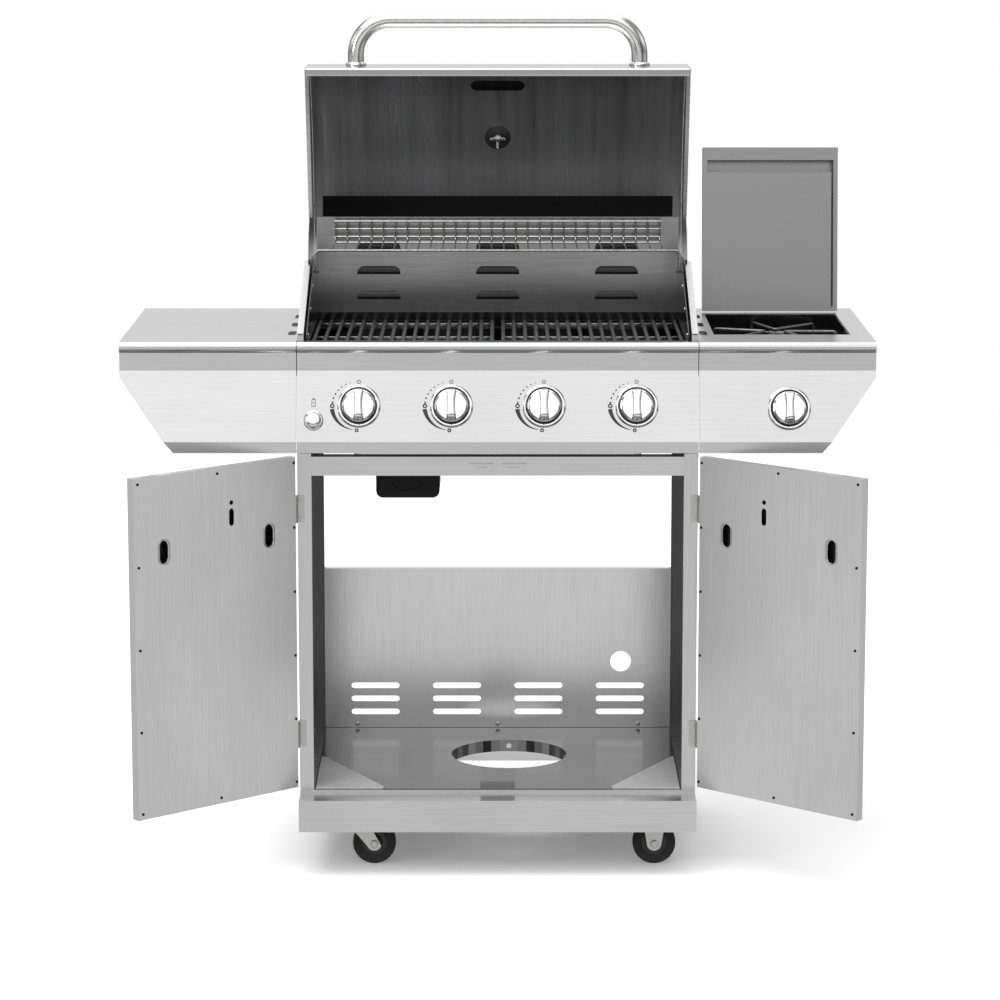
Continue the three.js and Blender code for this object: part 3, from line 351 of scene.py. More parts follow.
satin_long = brushed("satin_stainless_brushed_lengthways", "cacaca", "c2c2c2", 0.24, "X", bump=0.04)
satin_upright = brushed("satin_stainless_brushed_upright", "d4d4d4", "cccccc", 0.24, "Z", bump=0.04)
satin_deep = brushed("satin_stainless_brushed_front_to_back", "c6c6c6", "bebebe", 0.26, "Y", bump=0.04)
# A darker grey sheet than real stainless: painted shade, used for the louvre hoods in the firebox.
shaded_sheet = brushed("steel_sheet_darkened_painted_shade", "7c7c7c", "6c6c6c", 0.22, "Z", bump=0.02)
# The cabinet floor's darker grey is painted shade inside the cabinet; its low roughness is real polish.
shaded_floor_sheet = brushed("stainless_cabinet_floor_polished_painted_shade", "7c7c7c", "707070", 0.16, "X", bump=0.02)
# The rear baffle's darker grey is painted shade inside the firebox.
shaded_baffle_sheet = brushed("stainless_baffle_darkened_painted_shade", "9a9a9a", "8a8a8a", 0.24, "X", bump=0.03)
lid_sheet = brushed("stainless_small_lid_rolled", "a6a6a6", "9e9e9e", 0.3, "Z", bump=0.02)
# Inside the lid: long broad streaks from light to dark grey, painted reflection and shade.
lid_inside_painted_streaks = brushed("stainless_inside_lid_painted_reflection_streaks", "c6c6c8", "8c8c8e", 0.3, "YZ",
                       fine=24.0, reach=700, bump=0.0, cloud=0.1)
post_sheet = brushed("side_panel_satin_outside_painted_shade_inside", "c8c8c8", "c0c0c0", 0.24, "Z", bump=0.04)


def shade_within(material, half, front, tone):
    """Only the outside face, beyond |X| = half, and the front edge, before Y = front, are satin; elsewhere,
    on the inner faces, the flat dark tone is painted shade.
    """
    tree = material.node_tree
    shader = tree.nodes["Principled BSDF"]
    satin = shader.inputs["Base Color"].links[0].from_socket
    where = add_node(tree, "ShaderNodeTexCoord").outputs["Object"]
    axes = add_node(tree, "ShaderNodeSeparateXYZ", {"Vector": where}).outputs
    width = add_node(tree, "ShaderNodeMath", {0: axes["X"]}, operation="ABSOLUTE").outputs[0]
    outside = add_node(tree, "ShaderNodeMapRange", {"Value": width},
                       From_Min=(half - 0.2) * mm, From_Max=(half + 0.2) * mm).outputs["Result"]
    edge = add_node(tree, "ShaderNodeMapRange", {"Value": axes["Y"]},
                    From_Min=(front + 1.0) * mm, From_Max=(front + 0.5) * mm).outputs["Result"]
    either = add_node(tree, "ShaderNodeMath", {0: outside, 1: edge}, operation="MAXIMUM").outputs[0]
    blend = add_node(tree, "ShaderNodeMix", {0: either, 7: satin}, data_type="RGBA")
    blend.inputs[6].default_value = colour(tone)
    tree.links.new(blend.outputs[2], shader.inputs["Base Color"])


# The side panels' inner faces are painted dark grey as shade inside the cabinet.
panel_low, panel_high = box("side_panel_right")
shade_within(post_sheet, panel_high[0] - 0.6, panel_low[1], "6c6c6c")
print("sheet materials made")

# %% [markdown]
# ## Chrome, enamel, iron, rubber and paint
# Die-cast knobs and tube handles are nickel-chrome plated: almost a mirror. The firebox and bowl
# wear porcelain enamel, glass melted onto steel, black and wavy with an orange-peel skin. Cooking
# rods are enamelled too but carry a matt, slightly worn film. Wheels are solid rubber, dull, with
# a dusty bloom. Small pressed brackets are powder coated, which dries with a fine pebble.

# %% Other finishes
def speckled(name, base, other, metallic, roughness, grain, spread=0.06, bump=0.15, **sockets):
    """A grainy skin: noise of one real grain size moves the colour, roughness and height."""
    material, shader = new_material(name, base, metallic, roughness, **sockets)
    tree = material.node_tree
    where = add_node(tree, "ShaderNodeTexCoord").outputs["Object"]
    grit = add_node(tree, "ShaderNodeTexNoise", {"Vector": where}, Scale=1 / (grain * mm), Detail=3.0)
    noise = grit.outputs["Fac"]
    weathered(tree, shader, noise, [(0.35, colour(other)), (0.65, colour(base))],
              (roughness - spread, roughness + spread), noise, bump, 0.1)
    return material


chrome = speckled("chrome_plate_polished", "e2e2e2", "dadada", 1.0, 0.07, 14, spread=0.03, bump=0.02)
tube_steel = speckled("stainless_tube_polished", "dededd", "d4d4d3", 1.0, 0.17, 9, spread=0.04, bump=0.03)
zinc = speckled("zinc_plated_steel_screws", "c9cac8", "b0b1af", 1.0, 0.34, 1.5)
enamel = speckled("porcelain_enamel_black_fired", "0c0c0d", "070708", 0.0, 0.2, 5,
                  spread=0.05, bump=0.12, Coat_Weight=0.4, Coat_Roughness=0.1)
rod_enamel = speckled("enamelled_rod_worn", "808081", "626263", 0.85, 0.3, 4, spread=0.08)
cast_iron = speckled("cast_iron_burner_seasoned", "2b2a29", "191818", 0.7, 0.5, 2, bump=0.3)
wire_chrome = speckled("bright_drawn_wire_plated", "a6a6a5", "8a8a89", 1.0, 0.22, 6)
rubber = speckled("rubber_tread_moulded", "121212", "1d1d1d", 0.0, 0.7, 3, spread=0.08, bump=0.25)
powder = speckled("powder_coat_black_baked", "050505", "0a0a0a", 0.0, 0.5, 1.2,
                  bump=0.1, Specular_IOR_Level=0.25)
burnt_steel = speckled("aluminised_steel_heat_tinted", "8f8d8a", "6d6a66", 1.0, 0.42, 18, spread=0.08)
print_ink = speckled("screen_printed_ink_charcoal", "2a2a2b", "202021", 0.0, 0.5, 1.0, bump=0.05)
dial_white = speckled("dial_face_white_lacquer", "ededeb", "e4e4e2", 0.0, 0.4, 4, bump=0.03)
# Dark grey metal for the knob grip's flanks: painted shade on the chrome.
grip_flank_painted_shade = speckled("chrome_grip_flank_painted_shade", "5a5a5b", "4c4c4d", 1.0, 0.2, 6, bump=0.02)
hub_nylon = speckled("nylon_hub_moulded", "1c1c1d", "262627", 0.0, 0.45, 2.5, bump=0.06)
gusset_steel = speckled("zinc_sheet_passivated", "c4c5c4", "b8b9b8", 0.3, 0.42, 12, bump=0.03)
print("finishes made", len(bpy.data.materials))

# %% [markdown]
# ## Dressing the CAD nodes
# A CAD node whose shape is right only needs its finish. The table pairs each material with the
# nodes that are made of it; nodes that are replaced later by finer pieces are listed all the same.

# %% Finish of every node
corners = [f"{end}_{side}" for end in ("front", "rear") for side in ("left", "right")]
finish_of = {
    satin_long: ["control_panel", "shelf_left", "shelf_right", "base_frame", "header_beam", "grease_tray"],
    satin_upright: ["rear_panel", "door_left", "door_right", "lid_shell"],
    post_sheet: ["side_panel_left", "side_panel_right"],
    shaded_floor_sheet: ["bottom_panel"],
    shaded_baffle_sheet: ["rear_baffle"],
    lid_sheet: ["side_lid"],
    satin_deep: ["lid_end_left", "lid_end_right", "firebox_end_left", "firebox_end_right"],
    enamel: ["firebox", "side_burner_bowl"],
    rod_enamel: ["cooking_grate_left", "cooking_grate_right", "trivet"],
    cast_iron: ["side_burner"],
    burnt_steel: ["burner_rail"] + [f"flame_tamer_{i}" for i in range(1, 5)],
    wire_chrome: ["warming_rack"],
    zinc: [f"hinge_{level}_{side}" for level in ("lower", "upper") for side in ("left", "right")]
    + [f"knob_stem_{i}" for i in range(1, 6)] + [f"caster_fork_{corner}" for corner in corners],
    chrome: [f"knob_{i}" for i in range(1, 6)] + ["igniter_button", "thermometer"],
    tube_steel: ["lid_handle", "door_handle_left", "door_handle_right"],
    rubber: [f"wheel_{corner}" for corner in corners],
    powder: ["grease_cup"],
}
for material, names in finish_of.items():
    for name in names:
        nodes[name].data.materials.clear()
        nodes[name].data.materials.append(material)
print("finished nodes", sum(len(names) for names in finish_of.values()), "of", len(nodes))

# %% [markdown]
# ## Camera
# The grill is seen straight from the front, from a little above, through a long lens.

# %% Camera
camera_data = bpy.data.cameras.new("front_camera")
camera_data.lens, camera_data.sensor_width, camera_data.shift_x = 129.5, 36.0, 0.0023
camera = bpy.data.objects.new("front_camera", camera_data)
camera.location = (0.0, -6.2897, 1.746)
looks_down = 10.14
camera.rotation_euler = (math.radians(90 - looks_down), 0, 0)
bpy.context.scene.collection.objects.link(camera)
bpy.context.scene.camera = camera
bpy.context.scene.view_settings.view_transform = "Standard"
print("camera at", list(camera.location))

# %% [markdown]
# ## Floor
# The floor is a plain white sheet that gives off a little light of its own, so that the shadow
# under the grill stays pale. Steel doesn't mirror it, so upright faces keep the studio's greys.

# %% Floor
floor_corners = [(-3.4, -2.6, 0.0), (3.4, -2.6, 0.0), (3.4, 4.2, 0.0), (-3.4, 4.2, 0.0)]
floor_mesh = bpy.data.meshes.new("studio_floor")
floor_mesh.from_pydata(floor_corners, [], [(0, 1, 2, 3)])
floor = bpy.data.objects.new("studio_floor", floor_mesh)
floor_paint, floor_shader = new_material("studio_floor_matt_white", "fbfbfb", 0.0, 0.9)
floor_shader.inputs["Emission Color"].default_value = (1, 1, 1, 1)
floor_shader.inputs["Emission Strength"].default_value = 0.15
floor_mesh.materials.append(floor_paint)
bpy.context.scene.collection.objects.link(floor)
floor.visible_glossy = False

# %% [markdown]
# ## Studio light
# Metal has no colour of its own to show, so it needs light and dark places to reflect. The world
# has one run of greys from floor to ceiling behind the camera and another behind the grill, both
# brightest overhead, with a dark band near eye level. Dark flags stand at either side. The camera
# itself sees plain white. Two soft boxes, overhead and at the left front, add the shadows.

# %% World and lamps
world = bpy.data.worlds.new("soft_studio")
world.use_nodes = True
bpy.context.scene.world = world
sky = world.node_tree
sky.nodes.clear()


def grey_ramp(factor, stops):
    return ramp(sky, factor, [(place, (value, value, value, 1)) for place, value in stops])


def sky_mix(factor, first, second, blend_type="MIX"):
    """A colour mix: its sockets 0, 6 and 7 are the factor and the two colours, output 2 the result."""
    node = add_node(sky, "ShaderNodeMix", {6: first, 7: second}, data_type="RGBA", blend_type=blend_type)
    if factor is None:
        node.inputs[0].default_value = 1.0
    else:
        sky.links.new(factor, node.inputs[0])
    return node.outputs[2]


direction = add_node(sky, "ShaderNodeTexCoord").outputs["Generated"]
axes = add_node(sky, "ShaderNodeSeparateXYZ", {0: direction}).outputs
level = add_node(sky, "ShaderNodeMapRange", {"Value": axes["Z"]}, From_Min=-1.0).outputs["Result"]
toward_back = add_node(sky, "ShaderNodeMapRange", {"Value": axes["Y"]}, From_Min=-0.1, From_Max=0.5)
ahead = grey_ramp(level, [(0.2, 0.2), (0.34, 0.64), (0.46, 0.66), (0.5, 0.2), (0.56, 0.2), (0.64, 1.0)])
behind = grey_ramp(level, [(0.2, 0.3), (0.42, 0.5), (0.49, 0.2), (0.54, 0.58), (0.68, 0.62), (0.85, 1.2)])
room = sky_mix(toward_back.outputs["Result"], ahead, behind)
aside = add_node(sky, "ShaderNodeMath", {0: axes["X"]}, operation="ABSOLUTE").outputs[0]
flags = grey_ramp(aside, [(0.4, 1.0), (0.55, 0.25), (0.8, 0.25), (0.92, 0.9), (1.0, 0.9)])
shaded_room = sky_mix(None, room, flags, "MULTIPLY")
lit = add_node(sky, "ShaderNodeBackground", {"Color": shaded_room}, Strength=1.45)
white = add_node(sky, "ShaderNodeBackground", Color=(1.0, 1.0, 1.0, 1))
camera_ray = add_node(sky, "ShaderNodeLightPath").outputs["Is Camera Ray"]
mixed = add_node(sky, "ShaderNodeMixShader", {0: camera_ray, 1: lit.outputs[0], 2: white.outputs[0]})
add_node(sky, "ShaderNodeOutputWorld", {"Surface": mixed.outputs[0]})


def soft_box(name, location, target, size, power):
    data = bpy.data.lights.new(name, "AREA")
    data.shape, data.size, data.size_y, data.energy = "RECTANGLE", *size, power
    lamp = bpy.data.objects.new(name, data)
    lamp.location = location
    aim = Vector(target) - Vector(location)
    lamp.rotation_euler = aim.to_track_quat("-Z", "Y").to_euler()
    bpy.context.scene.collection.objects.link(lamp)


soft_box("overhead_softbox", (-1.2, -0.6, 4.2), (0.1, 0.1, 0.4), (3.2, 3.2), 95)
soft_box("left_front_softbox", (-3.6, -3.6, 2.6), (0, 0, 0.7), (1.6, 2.4), 60)
print("lamps", len(bpy.data.lights))

# %% [markdown]
# ## The lid's skin
# The lid is one stainless sheet, folded at the rim, flat at the front, then rolled over to the
# back. In section it is a line, so the skin is that line offset by the sheet's thickness and
# carried from end to end. Inner faces take a second finish whose long light and dark streaks
# are painted reflection and shade.
# The section is written for the closed lid; opening it turns (depth, height) from the pivot.

# %% Lid skin
lid_pivot = pivot("lid_hinge")
shell_low, shell_high = box("lid_shell")
lid_front = lid_pivot[2] - shell_high[2]
lid_rim = shell_low[1] - lid_pivot[1]
lid_crest = shell_high[1] - lid_pivot[1]
half_width = shell_high[0]
sheet = 1.5
fold_steps = 5


def lid_section():
    """Lip, 3 mm fold, flat front, front arc through the flat's top and the crest, rear arc."""
    flat_height, lip, fold = 137, 13.7, 3
    crest_y, rear, rear_drop = -78.0, 160.0, 5
    rise, run = lid_crest - lid_rim - flat_height, crest_y - lid_front
    half = math.atan2(rise, run)
    radius = math.hypot(rise, run) / (2 * math.sin(half))
    end = math.degrees(math.asin(rear_drop / rear))
    return np.concatenate([
        [[lid_front + lip, lid_rim]],
        arc(lid_front + fold, lid_rim + fold, fold, 270, 180, fold_steps),
        arc(crest_y, lid_crest - radius, radius, 90 + math.degrees(2 * half), 90, 44),
        arc(crest_y, lid_crest - rear, rear, 90, end, 36)[1:],
    ])


def inset(line, distance):
    """Each point moved along its line's inward normal, the tangent turned a quarter."""
    tangent = units(np.gradient(line, axis=0))
    return line + distance * np.stack([tangent[:, 1], -tangent[:, 0]], axis=1)


def opened(x, depth, height):
    """From the closed lid's (depth, height) to the open lid in the frame: a quarter turn back."""
    return spread(x, lid_pivot[1] + height, lid_pivot[2] - depth)


def across_lid(section, half):
    """A closed section of the lid carried from X = -half to X = half."""
    return grid(opened(np.array([[-half], [half]]), section[None, :, 0], section[None, :, 1]))


outer_line = lid_section()
inner_line = inset(outer_line, sheet)
count = len(outer_line)
skin = across_lid(np.concatenate([outer_line, inner_line[::-1]]), half_width)
piece("lid_skin", [skin], "lid", satin_long, replaces=["lid_shell"],
      finishes=[np.repeat([0, 1, 0], [count, count - 1, 3])], extra=[lid_inside_painted_streaks])


def on_lid(depth):
    """Point of the inner skin at a depth, its direction along the section and its inward normal."""
    in_fold = np.arange(count) <= fold_steps
    i = int(np.argmin(np.abs(inner_line[:, 0] - depth) + 1000 * in_fold))
    along = units(inner_line[i + 1] - inner_line[i - 1])
    return inner_line[i], along, np.array([along[1], -along[0]])


def lid_place(seat, along, normal):
    """(x, y, height) columns to space: x across the lid, y along its section, height off it."""
    def place(p):
        spot = seat + p[..., 1:2] * along + p[..., 2:] * normal
        return opened(p[..., 0], spot[..., 0], spot[..., 1])
    return place


# %% [markdown]
# ## Lid handle
# The handle is a 29 mm stainless tube bent round a former, so its centre line is straight runs
# joined by quarter circles. A flared collar hides each fixing.

# %% Lid handle
handle_low, handle_high = box("lid_handle")
handle_radius, bend = 14.5, 62.0
reach = handle_high[0] - handle_radius
root, top = shell_high[2] + 0.3, handle_high[2] - handle_radius
handle_y = (handle_low[1] + handle_high[1]) / 2


def bow():
    """Leg, quarter circle, straight, quarter circle, leg, all in one upright plane."""
    a = np.linspace(0, np.pi / 2, 18)
    left = np.stack([-reach + bend - bend * np.cos(a), top - bend + bend * np.sin(a)], axis=1)
    right = np.stack([reach - bend + bend * np.sin(a), top - bend + bend * np.cos(a)], axis=1)
    flat = np.concatenate([[[-reach, root]], left, right, [[reach, root]]])
    return spread(flat[:, 0], handle_y, flat[:, 1])


flare = [(14.4, 0.0), (18.2, 0.0), (19.0, 0.8), (19.0, 3.6),
         (17.8, 5.2), (15.6, 6.2), (15.0, 7.0), (14.4, 7.0)]
collars = [lathe(flare, vec(x, handle_y, root), Z) for x in (-reach, reach)]
piece("lid_handle_bow", [tube(bow(), handle_radius, 32, Y), *collars], "lid", tube_steel,
      replaces=["lid_handle"])

# %% [markdown]
# ## Thermometer
# The thermometer is a lathe-turned bezel with a white dial, ten printed ticks and a needle. Inside
# the lid its gasket, nut, wing and probe show.

# %% Thermometer
seat, along, inward = on_lid(-246.0)
inside, outside = lid_place(seat, along, inward), lid_place(seat, along, -inward)
gauge = [(3.5, 1.4), (24.0, 1.9), (26.0, 3.0), (26.0, 8.6),
         (25.0, 10.6), (23.2, 11.4), (22.4, 10.6), (22.2, 9.4)]
dial = [(22.2, 9.0), (22.2, 9.5)]
tick_angles = np.radians(np.linspace(-45, 225, 10))
ticks = [plate(spin(rectangle(17, 20.5, -0.5, 0.5), a), 9.5, 9.7, outside) for a in tick_angles]
needle = plate([(-4, -1.2), (15, -0.3), (15, 0.3), (-4, 1.2)], 9.7, 10.1, outside)
gasket = turned([(24, 0.2), (24, 1.2), (23, 1.8)], inside)
nut = turned([(9.5, 1.8), (9.5, 6.5), (8.5, 7.5)], inside, 6)
wing = plate(bar_outline(30, 8), 7.5, 10, inside, 0.8)
probe = turned([(3, 10), (3, 39), (2, 41)], inside, 20)
gauge_parts = [turned(gauge, outside), turned(dial, outside), *ticks, needle, gasket, nut, wing, probe]
piece("thermometer_gauge", gauge_parts, "lid", chrome, replaces=["thermometer"],
      finishes=[0, 1] + [2] * len(ticks) + [2, 2, 0, 0, 0], extra=[dial_white, print_ink])

# %% [markdown]
# ## Inside the lid
# Above the dial a black plate with two studs holds the badge from behind. Three rivets hold the
# skin to each end, and a black strip along the inner skin, from one end to the other, is painted shade.

# %% Badge back, rivets and painted shade strip
badge_place = lid_place(*on_lid(-345.0))
badge = plate(bar_outline(99, 24), 0.2, 1.0, badge_place, 0.3)
stud = [(3, 1.0), (3, 2.6), (2, 3.2)]
studs = [turned(stud, lambda p, x=x: badge_place(p + x * X), 16) for x in (-26, 26)]
piece("badge_back", [badge, *studs], "lid", powder)
rivets = []
for depth in (-300.0, -215.0, -120.0):
    spot, _, normal = on_lid(depth)
    for _, side in SIDES:
        centre = opened(side * (half_width - 0.2), *(spot + 12 * normal))
        rivets.append(lathe([(3.2, 0), (3.0, 0.9), (2.0, 1.4)], centre, -side * X, 16))
piece("lid_end_rivets", rivets, "lid", zinc)
# The black strip along the inside of the skin is painted shade.
shade_strip_half = 327.0
shade_span = (inner_line[:, 0] > -134) & (inner_line[:, 0] < -92)
shade_strip = np.concatenate([inset(inner_line, 0.3)[shade_span], inset(inner_line, 1.4)[shade_span][::-1]])
piece("lid_painted_shade_strip", [across_lid(shade_strip, shade_strip_half)], "lid", powder)

# %% [markdown]
# ## Louvre hoods
# Nine hoods are pressed out of the rear wall's baffle. In section each is a quarter of a
# stretched circle, about a millimetre thick, carried along X.

# %% Louvre hoods
wall_back = box("rear_baffle")[1][1]
stretch = [1, 2.6]
hood = np.concatenate([arc(0, 0, 9.0, 90, 0, 10) * stretch, (arc(0, 0, 8.0, 90, 0, 10) * stretch)[::-1]])
hoods = []
for z in (955.0, 1001.0, 1047.0):
    for x in (-217.5, 0.0, 217.5):
        ends = np.array([[x - 41], [x + 41]])
        hoods.append(grid(spread(ends, hood[:, 0] + wall_back + 0.2, hood[:, 1] + z - 13)))
# The hoods wear the darkened sheet: painted shade.
piece("louvre_hoods", hoods, "frame", shaded_sheet)

# %% [markdown]
# ## Small lid's liner
# Inside the side burner's lid a flat sheet is let in. It is drawn for the closed lid and turned
# up about the hinge by the joint's own angle.

# %% Small lid's liner
low, high = box("side_lid")
turn = math.radians(-joints["side_lid_hinge"]["range_deg"][0])
side_pivot = pivot("side_lid_hinge")
length = (high[2] - side_pivot[2]) / math.sin(turn)
rest_height = box("shelf_right")[1][2] - side_pivot[2]


def side_lid_open(p):
    """Closed: x across, y back from the hinge, height over it; then turned up about the hinge."""
    y = p[..., 1] * math.cos(turn) + p[..., 2] * math.sin(turn)
    z = -p[..., 1] * math.sin(turn) + p[..., 2] * math.cos(turn)
    return spread(p[..., 0], side_pivot[1] + y, side_pivot[2] + z)


x0, x1, near, far = low[0] + 1.5, high[0] - 12, -4, 46 - length
liner = [(x0, near), (x0, far), (x1, far), (x1, near)]
piece("side_lid_liner", [plate(liner, rest_height + 1.2, rest_height + 2.2, side_lid_open, 0.3)],
      "side_lid", lid_sheet)

# %% [markdown]
# ## Knobs
# Each knob is a die-cast, chrome-plated disc with a grip bar across it, waisted where finger and
# thumb hold it. The disc is a lathe profile. The grip is lofted: at a station s along the bar its
# half width is 6.4 + 3 s^2 and its height falls off with s^8, on a squared-off ellipse section.
# Round it a polished bezel is fixed to the panel.

# %% Knob shapes
grip_stations, grip_sides = 25, 28


def panel_frame(joint, out):
    """A knob's centre moved outwards along its axis, the direction up the slope, and the axis."""
    normal = units(np.array(joints[joint]["axis"], float))
    return pivot(joint) + normal * out, np.cross(normal, X), normal


def panel_place(centre, up, normal):
    """(x, y, height) columns to the sloping panel: x to the right, y up the slope, height out."""
    return lambda p: centre + p[..., :1] * X + p[..., 1:2] * up + p[..., 2:3] * normal


def squared(values, power):
    return np.sign(values) * np.abs(values) ** power


def grip(place, base):
    """The waisted bar, lofted over its stations with a squared ellipse."""
    s = np.linspace(-1, 1, grip_stations)[:, None]
    t = full_turn(grip_sides)[None]
    half = (6.4 + 3.0 * s**2) * (1 - 0.12 * s**12)
    tall = 14.6 * (1 - 0.5 * s**8)
    x = half * squared(np.cos(t), 0.5)
    height = base + tall * (0.5 + 0.5 * squared(np.sin(t), 0.5))
    return grid(place(spread(x, 26.5 * s, height)))


disc = [(25.5, 0.4), (27.6, 0.9), (28.5, 2.4), (28.5, 6.4), (27.7, 8.2),
        (25.6, 9.2), (25.0, 9.8), (24.0, 9.6), (22.0, 9.9)]
bezel = [(37.4, 0.2), (37.5, 1.2), (36.4, 3.6), (34.4, 4.8), (32.2, 4.6), (30.6, 3.0), (30.2, 0.2)]
# A flat dark ring inside each bezel, round the knob, is painted shade in the gap between knob and bezel.
shade_ring_profile = [(30.1, 0.2), (30.1, 0.9), (6.5, 0.9), (6.5, 0.2)]
# Grip faces that look sideways take the dark grey metal: painted shade on the flanks.
flank_shade_mask = np.abs(np.cos(full_turn(grip_sides) + np.pi / grip_sides)) > 0.78
grip_shade_finish = np.append(np.tile(np.where(flank_shade_mask, 2, 0), grip_stations - 1), [0, 0])
bezels, shade_rings = [], []
for i in range(1, 6):
    centre, up, normal = panel_frame(f"knob_{i}_turn", -5.0)
    place = panel_place(centre, up, normal)
    pointer = plate(rectangle(-0.9, 0.9, -26.3, -21.5), 17.0, 20.6, place)
    parts = [turned(disc, place, 64), grip(place, 9.0), pointer]
    piece(f"knob_{i}_cast", parts, f"knob_{i}", chrome,
          replaces=[f"knob_{i}"], finishes=[0, grip_shade_finish, 1], extra=[print_ink, grip_flank_painted_shade])
    panel = panel_place(centre - 5 * normal, up, normal)
    bezels.append(turned(bezel, panel, 64, ring=True))
    shade_rings.append(turned(shade_ring_profile, panel, 48, ring=True))
piece("knob_bezels", bezels, "frame", chrome)
# The dark rings are painted shade, not printed marks.
piece("knob_painted_shade_rings", shade_rings, "frame", print_ink)

# %% [markdown]
# ## Printed marks
# The marks round each knob are screen-printed: a ring for off, one for high and one for low, a
# crescent that thins as the flame does, and dashes where the spark acts. Ink stands a tenth of a
# millimetre proud. Over the igniter's button a battery sign is printed.

# %% Panel marks
def sector(r0, r1, start, end, shift=(0, 0), steps=24):
    """A ribbon between radii r0 and r1, each a number or a pair of end values, over an angle."""
    a = np.radians(np.linspace(start, end, steps + 1))
    r0, r1 = (np.linspace(*np.broadcast_to(r, 2), steps + 1) for r in (r0, r1))
    outer = np.stack([r1 * np.cos(a), r1 * np.sin(a)], axis=1)
    inner = np.stack([r0 * np.cos(a), r0 * np.sin(a)], axis=1)[::-1]
    return np.concatenate([outer, inner]) + np.asarray(shift)


def ink(outline, place):
    return plate(outline, 0.04, 0.16, place)


def ring_mark(x, y, place, r0, r1):
    """A ring as four quarter ribbons, so that no face has a hole."""
    return [ink(sector(r0, r1, q, q + 90, (x, y), 6), place) for q in (0, 90, 180, 270)]


panel_sunk = -10.0
mark_radius, left_of_knob = 42.0, 3.5
shift = (-left_of_knob, 0)
marks = []
for i in range(1, 5):
    place = panel_place(*panel_frame(f"knob_{i}_turn", panel_sunk))
    for angle, inner, outer in ((90, 2.2, 3.4), (180, 1.7, 4.0), (270, 1.3, 3.5)):
        x = mark_radius * math.cos(math.radians(angle)) - left_of_knob * (angle != 90)
        marks += ring_mark(x, mark_radius * math.sin(math.radians(angle)), place, inner, outer)
    marks.append(ink(sector((38.8, 40.9), (46.5, 41.6), 187, 262, shift, 30), place))
    for k, angle in enumerate(np.linspace(104, 170, 7)):
        dash = sector(41.4 - 0.16 * k, 42.3 + 0.22 * k, angle, angle + 4.2, shift, 4)
        marks.append(ink(dash, place))
button_low, button_high = box("igniter_button")
button_middle = (button_low + button_high) / 2
first_knob, up, normal = panel_frame("knob_1_turn", panel_sunk)
drop = button_middle[2] - first_knob[2] - 3 * normal[2]
button_centre = vec(button_middle[0], *first_knob[1:]) + up * (drop / up[2])
button_place = panel_place(button_centre, up, normal)
battery = [rectangle(-3.4, -2.4, 25, 36), rectangle(2.4, 3.4, 25, 36), rectangle(-3.4, 3.4, 24, 25),
           rectangle(-3.4, 3.4, 36, 37), [(-1.6, 37.4), (1.6, 37.4), (1.2, 39), (-1.2, 39)],
           rectangle(-0.9, 0.9, 29.8, 31.6)]
marks += [ink(outline, button_place) for outline in battery]
piece("panel_marks", marks, "frame", print_ink)

# %% [markdown]
# ## Igniter
# The igniter is a round chrome cap that is pushed in through its own fixed bezel.

# %% Igniter
cap = [(11.6, -6.0), (12.0, -5.0), (12.0, 11.4), (11.2, 12.9), (9.0, 13.7), (6.0, 13.9)]
cap_bezel = [(17.0, 0.2), (17.2, 3.0), (16.4, 5.4), (14.8, 6.2), (13.2, 5.8), (12.9, 0.2)]
piece("igniter_cap", [turned(cap, button_place, 40)], "igniter_button", chrome,
      replaces=["igniter_button"])
piece("igniter_bezel", [turned(cap_bezel, button_place, 40, ring=True)], "frame", chrome)

# %% [markdown]
# ## Cooking grates
# Each grate is welded from seventeen round-topped rods on three flat cross bars, then enamelled.
# One rod is a short loft with softened ends; `row` copies it along X at an even pitch.

# %% Grates
def rod(length, width, tall):
    """A squared-ellipse section held constant along Y, drawn in to 60 per cent at both ends."""
    t = full_turn(14)[None]
    y = vec(0, 0.8, 2.2, length - 2.2, length - 0.8, length)[:, None]
    size = vec(0.6, 0.9, 1, 1, 0.9, 0.6)[:, None]
    x = size * width / 2 * squared(np.cos(t), 0.7)
    z = size * tall / 2 * squared(np.sin(t), 0.7)
    return grid(spread(x, y, z))


def flat_bar(x0, x1, y0, y1, z0, z1):
    """A bar whose upright edges are rounded by 0.3 of its narrower side."""
    corner = min(x1 - x0, y1 - y0) * 0.3
    middles = rectangle(x0 + corner, x1 - corner, y0 + corner, y1 - corner)[[2, 3, 0, 1]]
    quarters = zip(middles, (0, 90, 180, 270))
    outline = np.concatenate([middle + arc(0, 0, corner, a, a + 90, 3) for middle, a in quarters])
    return plate(outline, z0, z1, round_edge=min(0.5, (z1 - z0) * 0.3))


rod_count, rod_width = 17, 7
for side_name, _ in SIDES:
    low, high = box(f"cooking_grate_{side_name}")
    inset_by = rod_width / 2
    xs = np.linspace(low[0] + inset_by, high[0] - inset_by, rod_count)
    bars = [flat_bar(low[0] + 0.6, high[0] - 0.6, y - 4, y + 4, low[2], high[2] - 6)
            for y in (low[1] + 8, (low[1] + high[1]) / 2, high[1] - 8)]
    rods = row(rod(high[1] - low[1], rod_width, rod_width), spread(xs, low[1], high[2] - inset_by))
    piece(f"grate_{side_name}_rods", [rods, *bars], f"cooking_grate_{side_name}", rod_enamel,
          replaces=[f"cooking_grate_{side_name}"], finishes=[0, 1, 1, 1], extra=[wire_chrome])

# %% [markdown]
# ## Warming rack
# The rack is bent wire. Twenty-eight wires run back along the shelf and turn up at the rear; long
# wires cross them, and the front one hooks over a peg at each end.

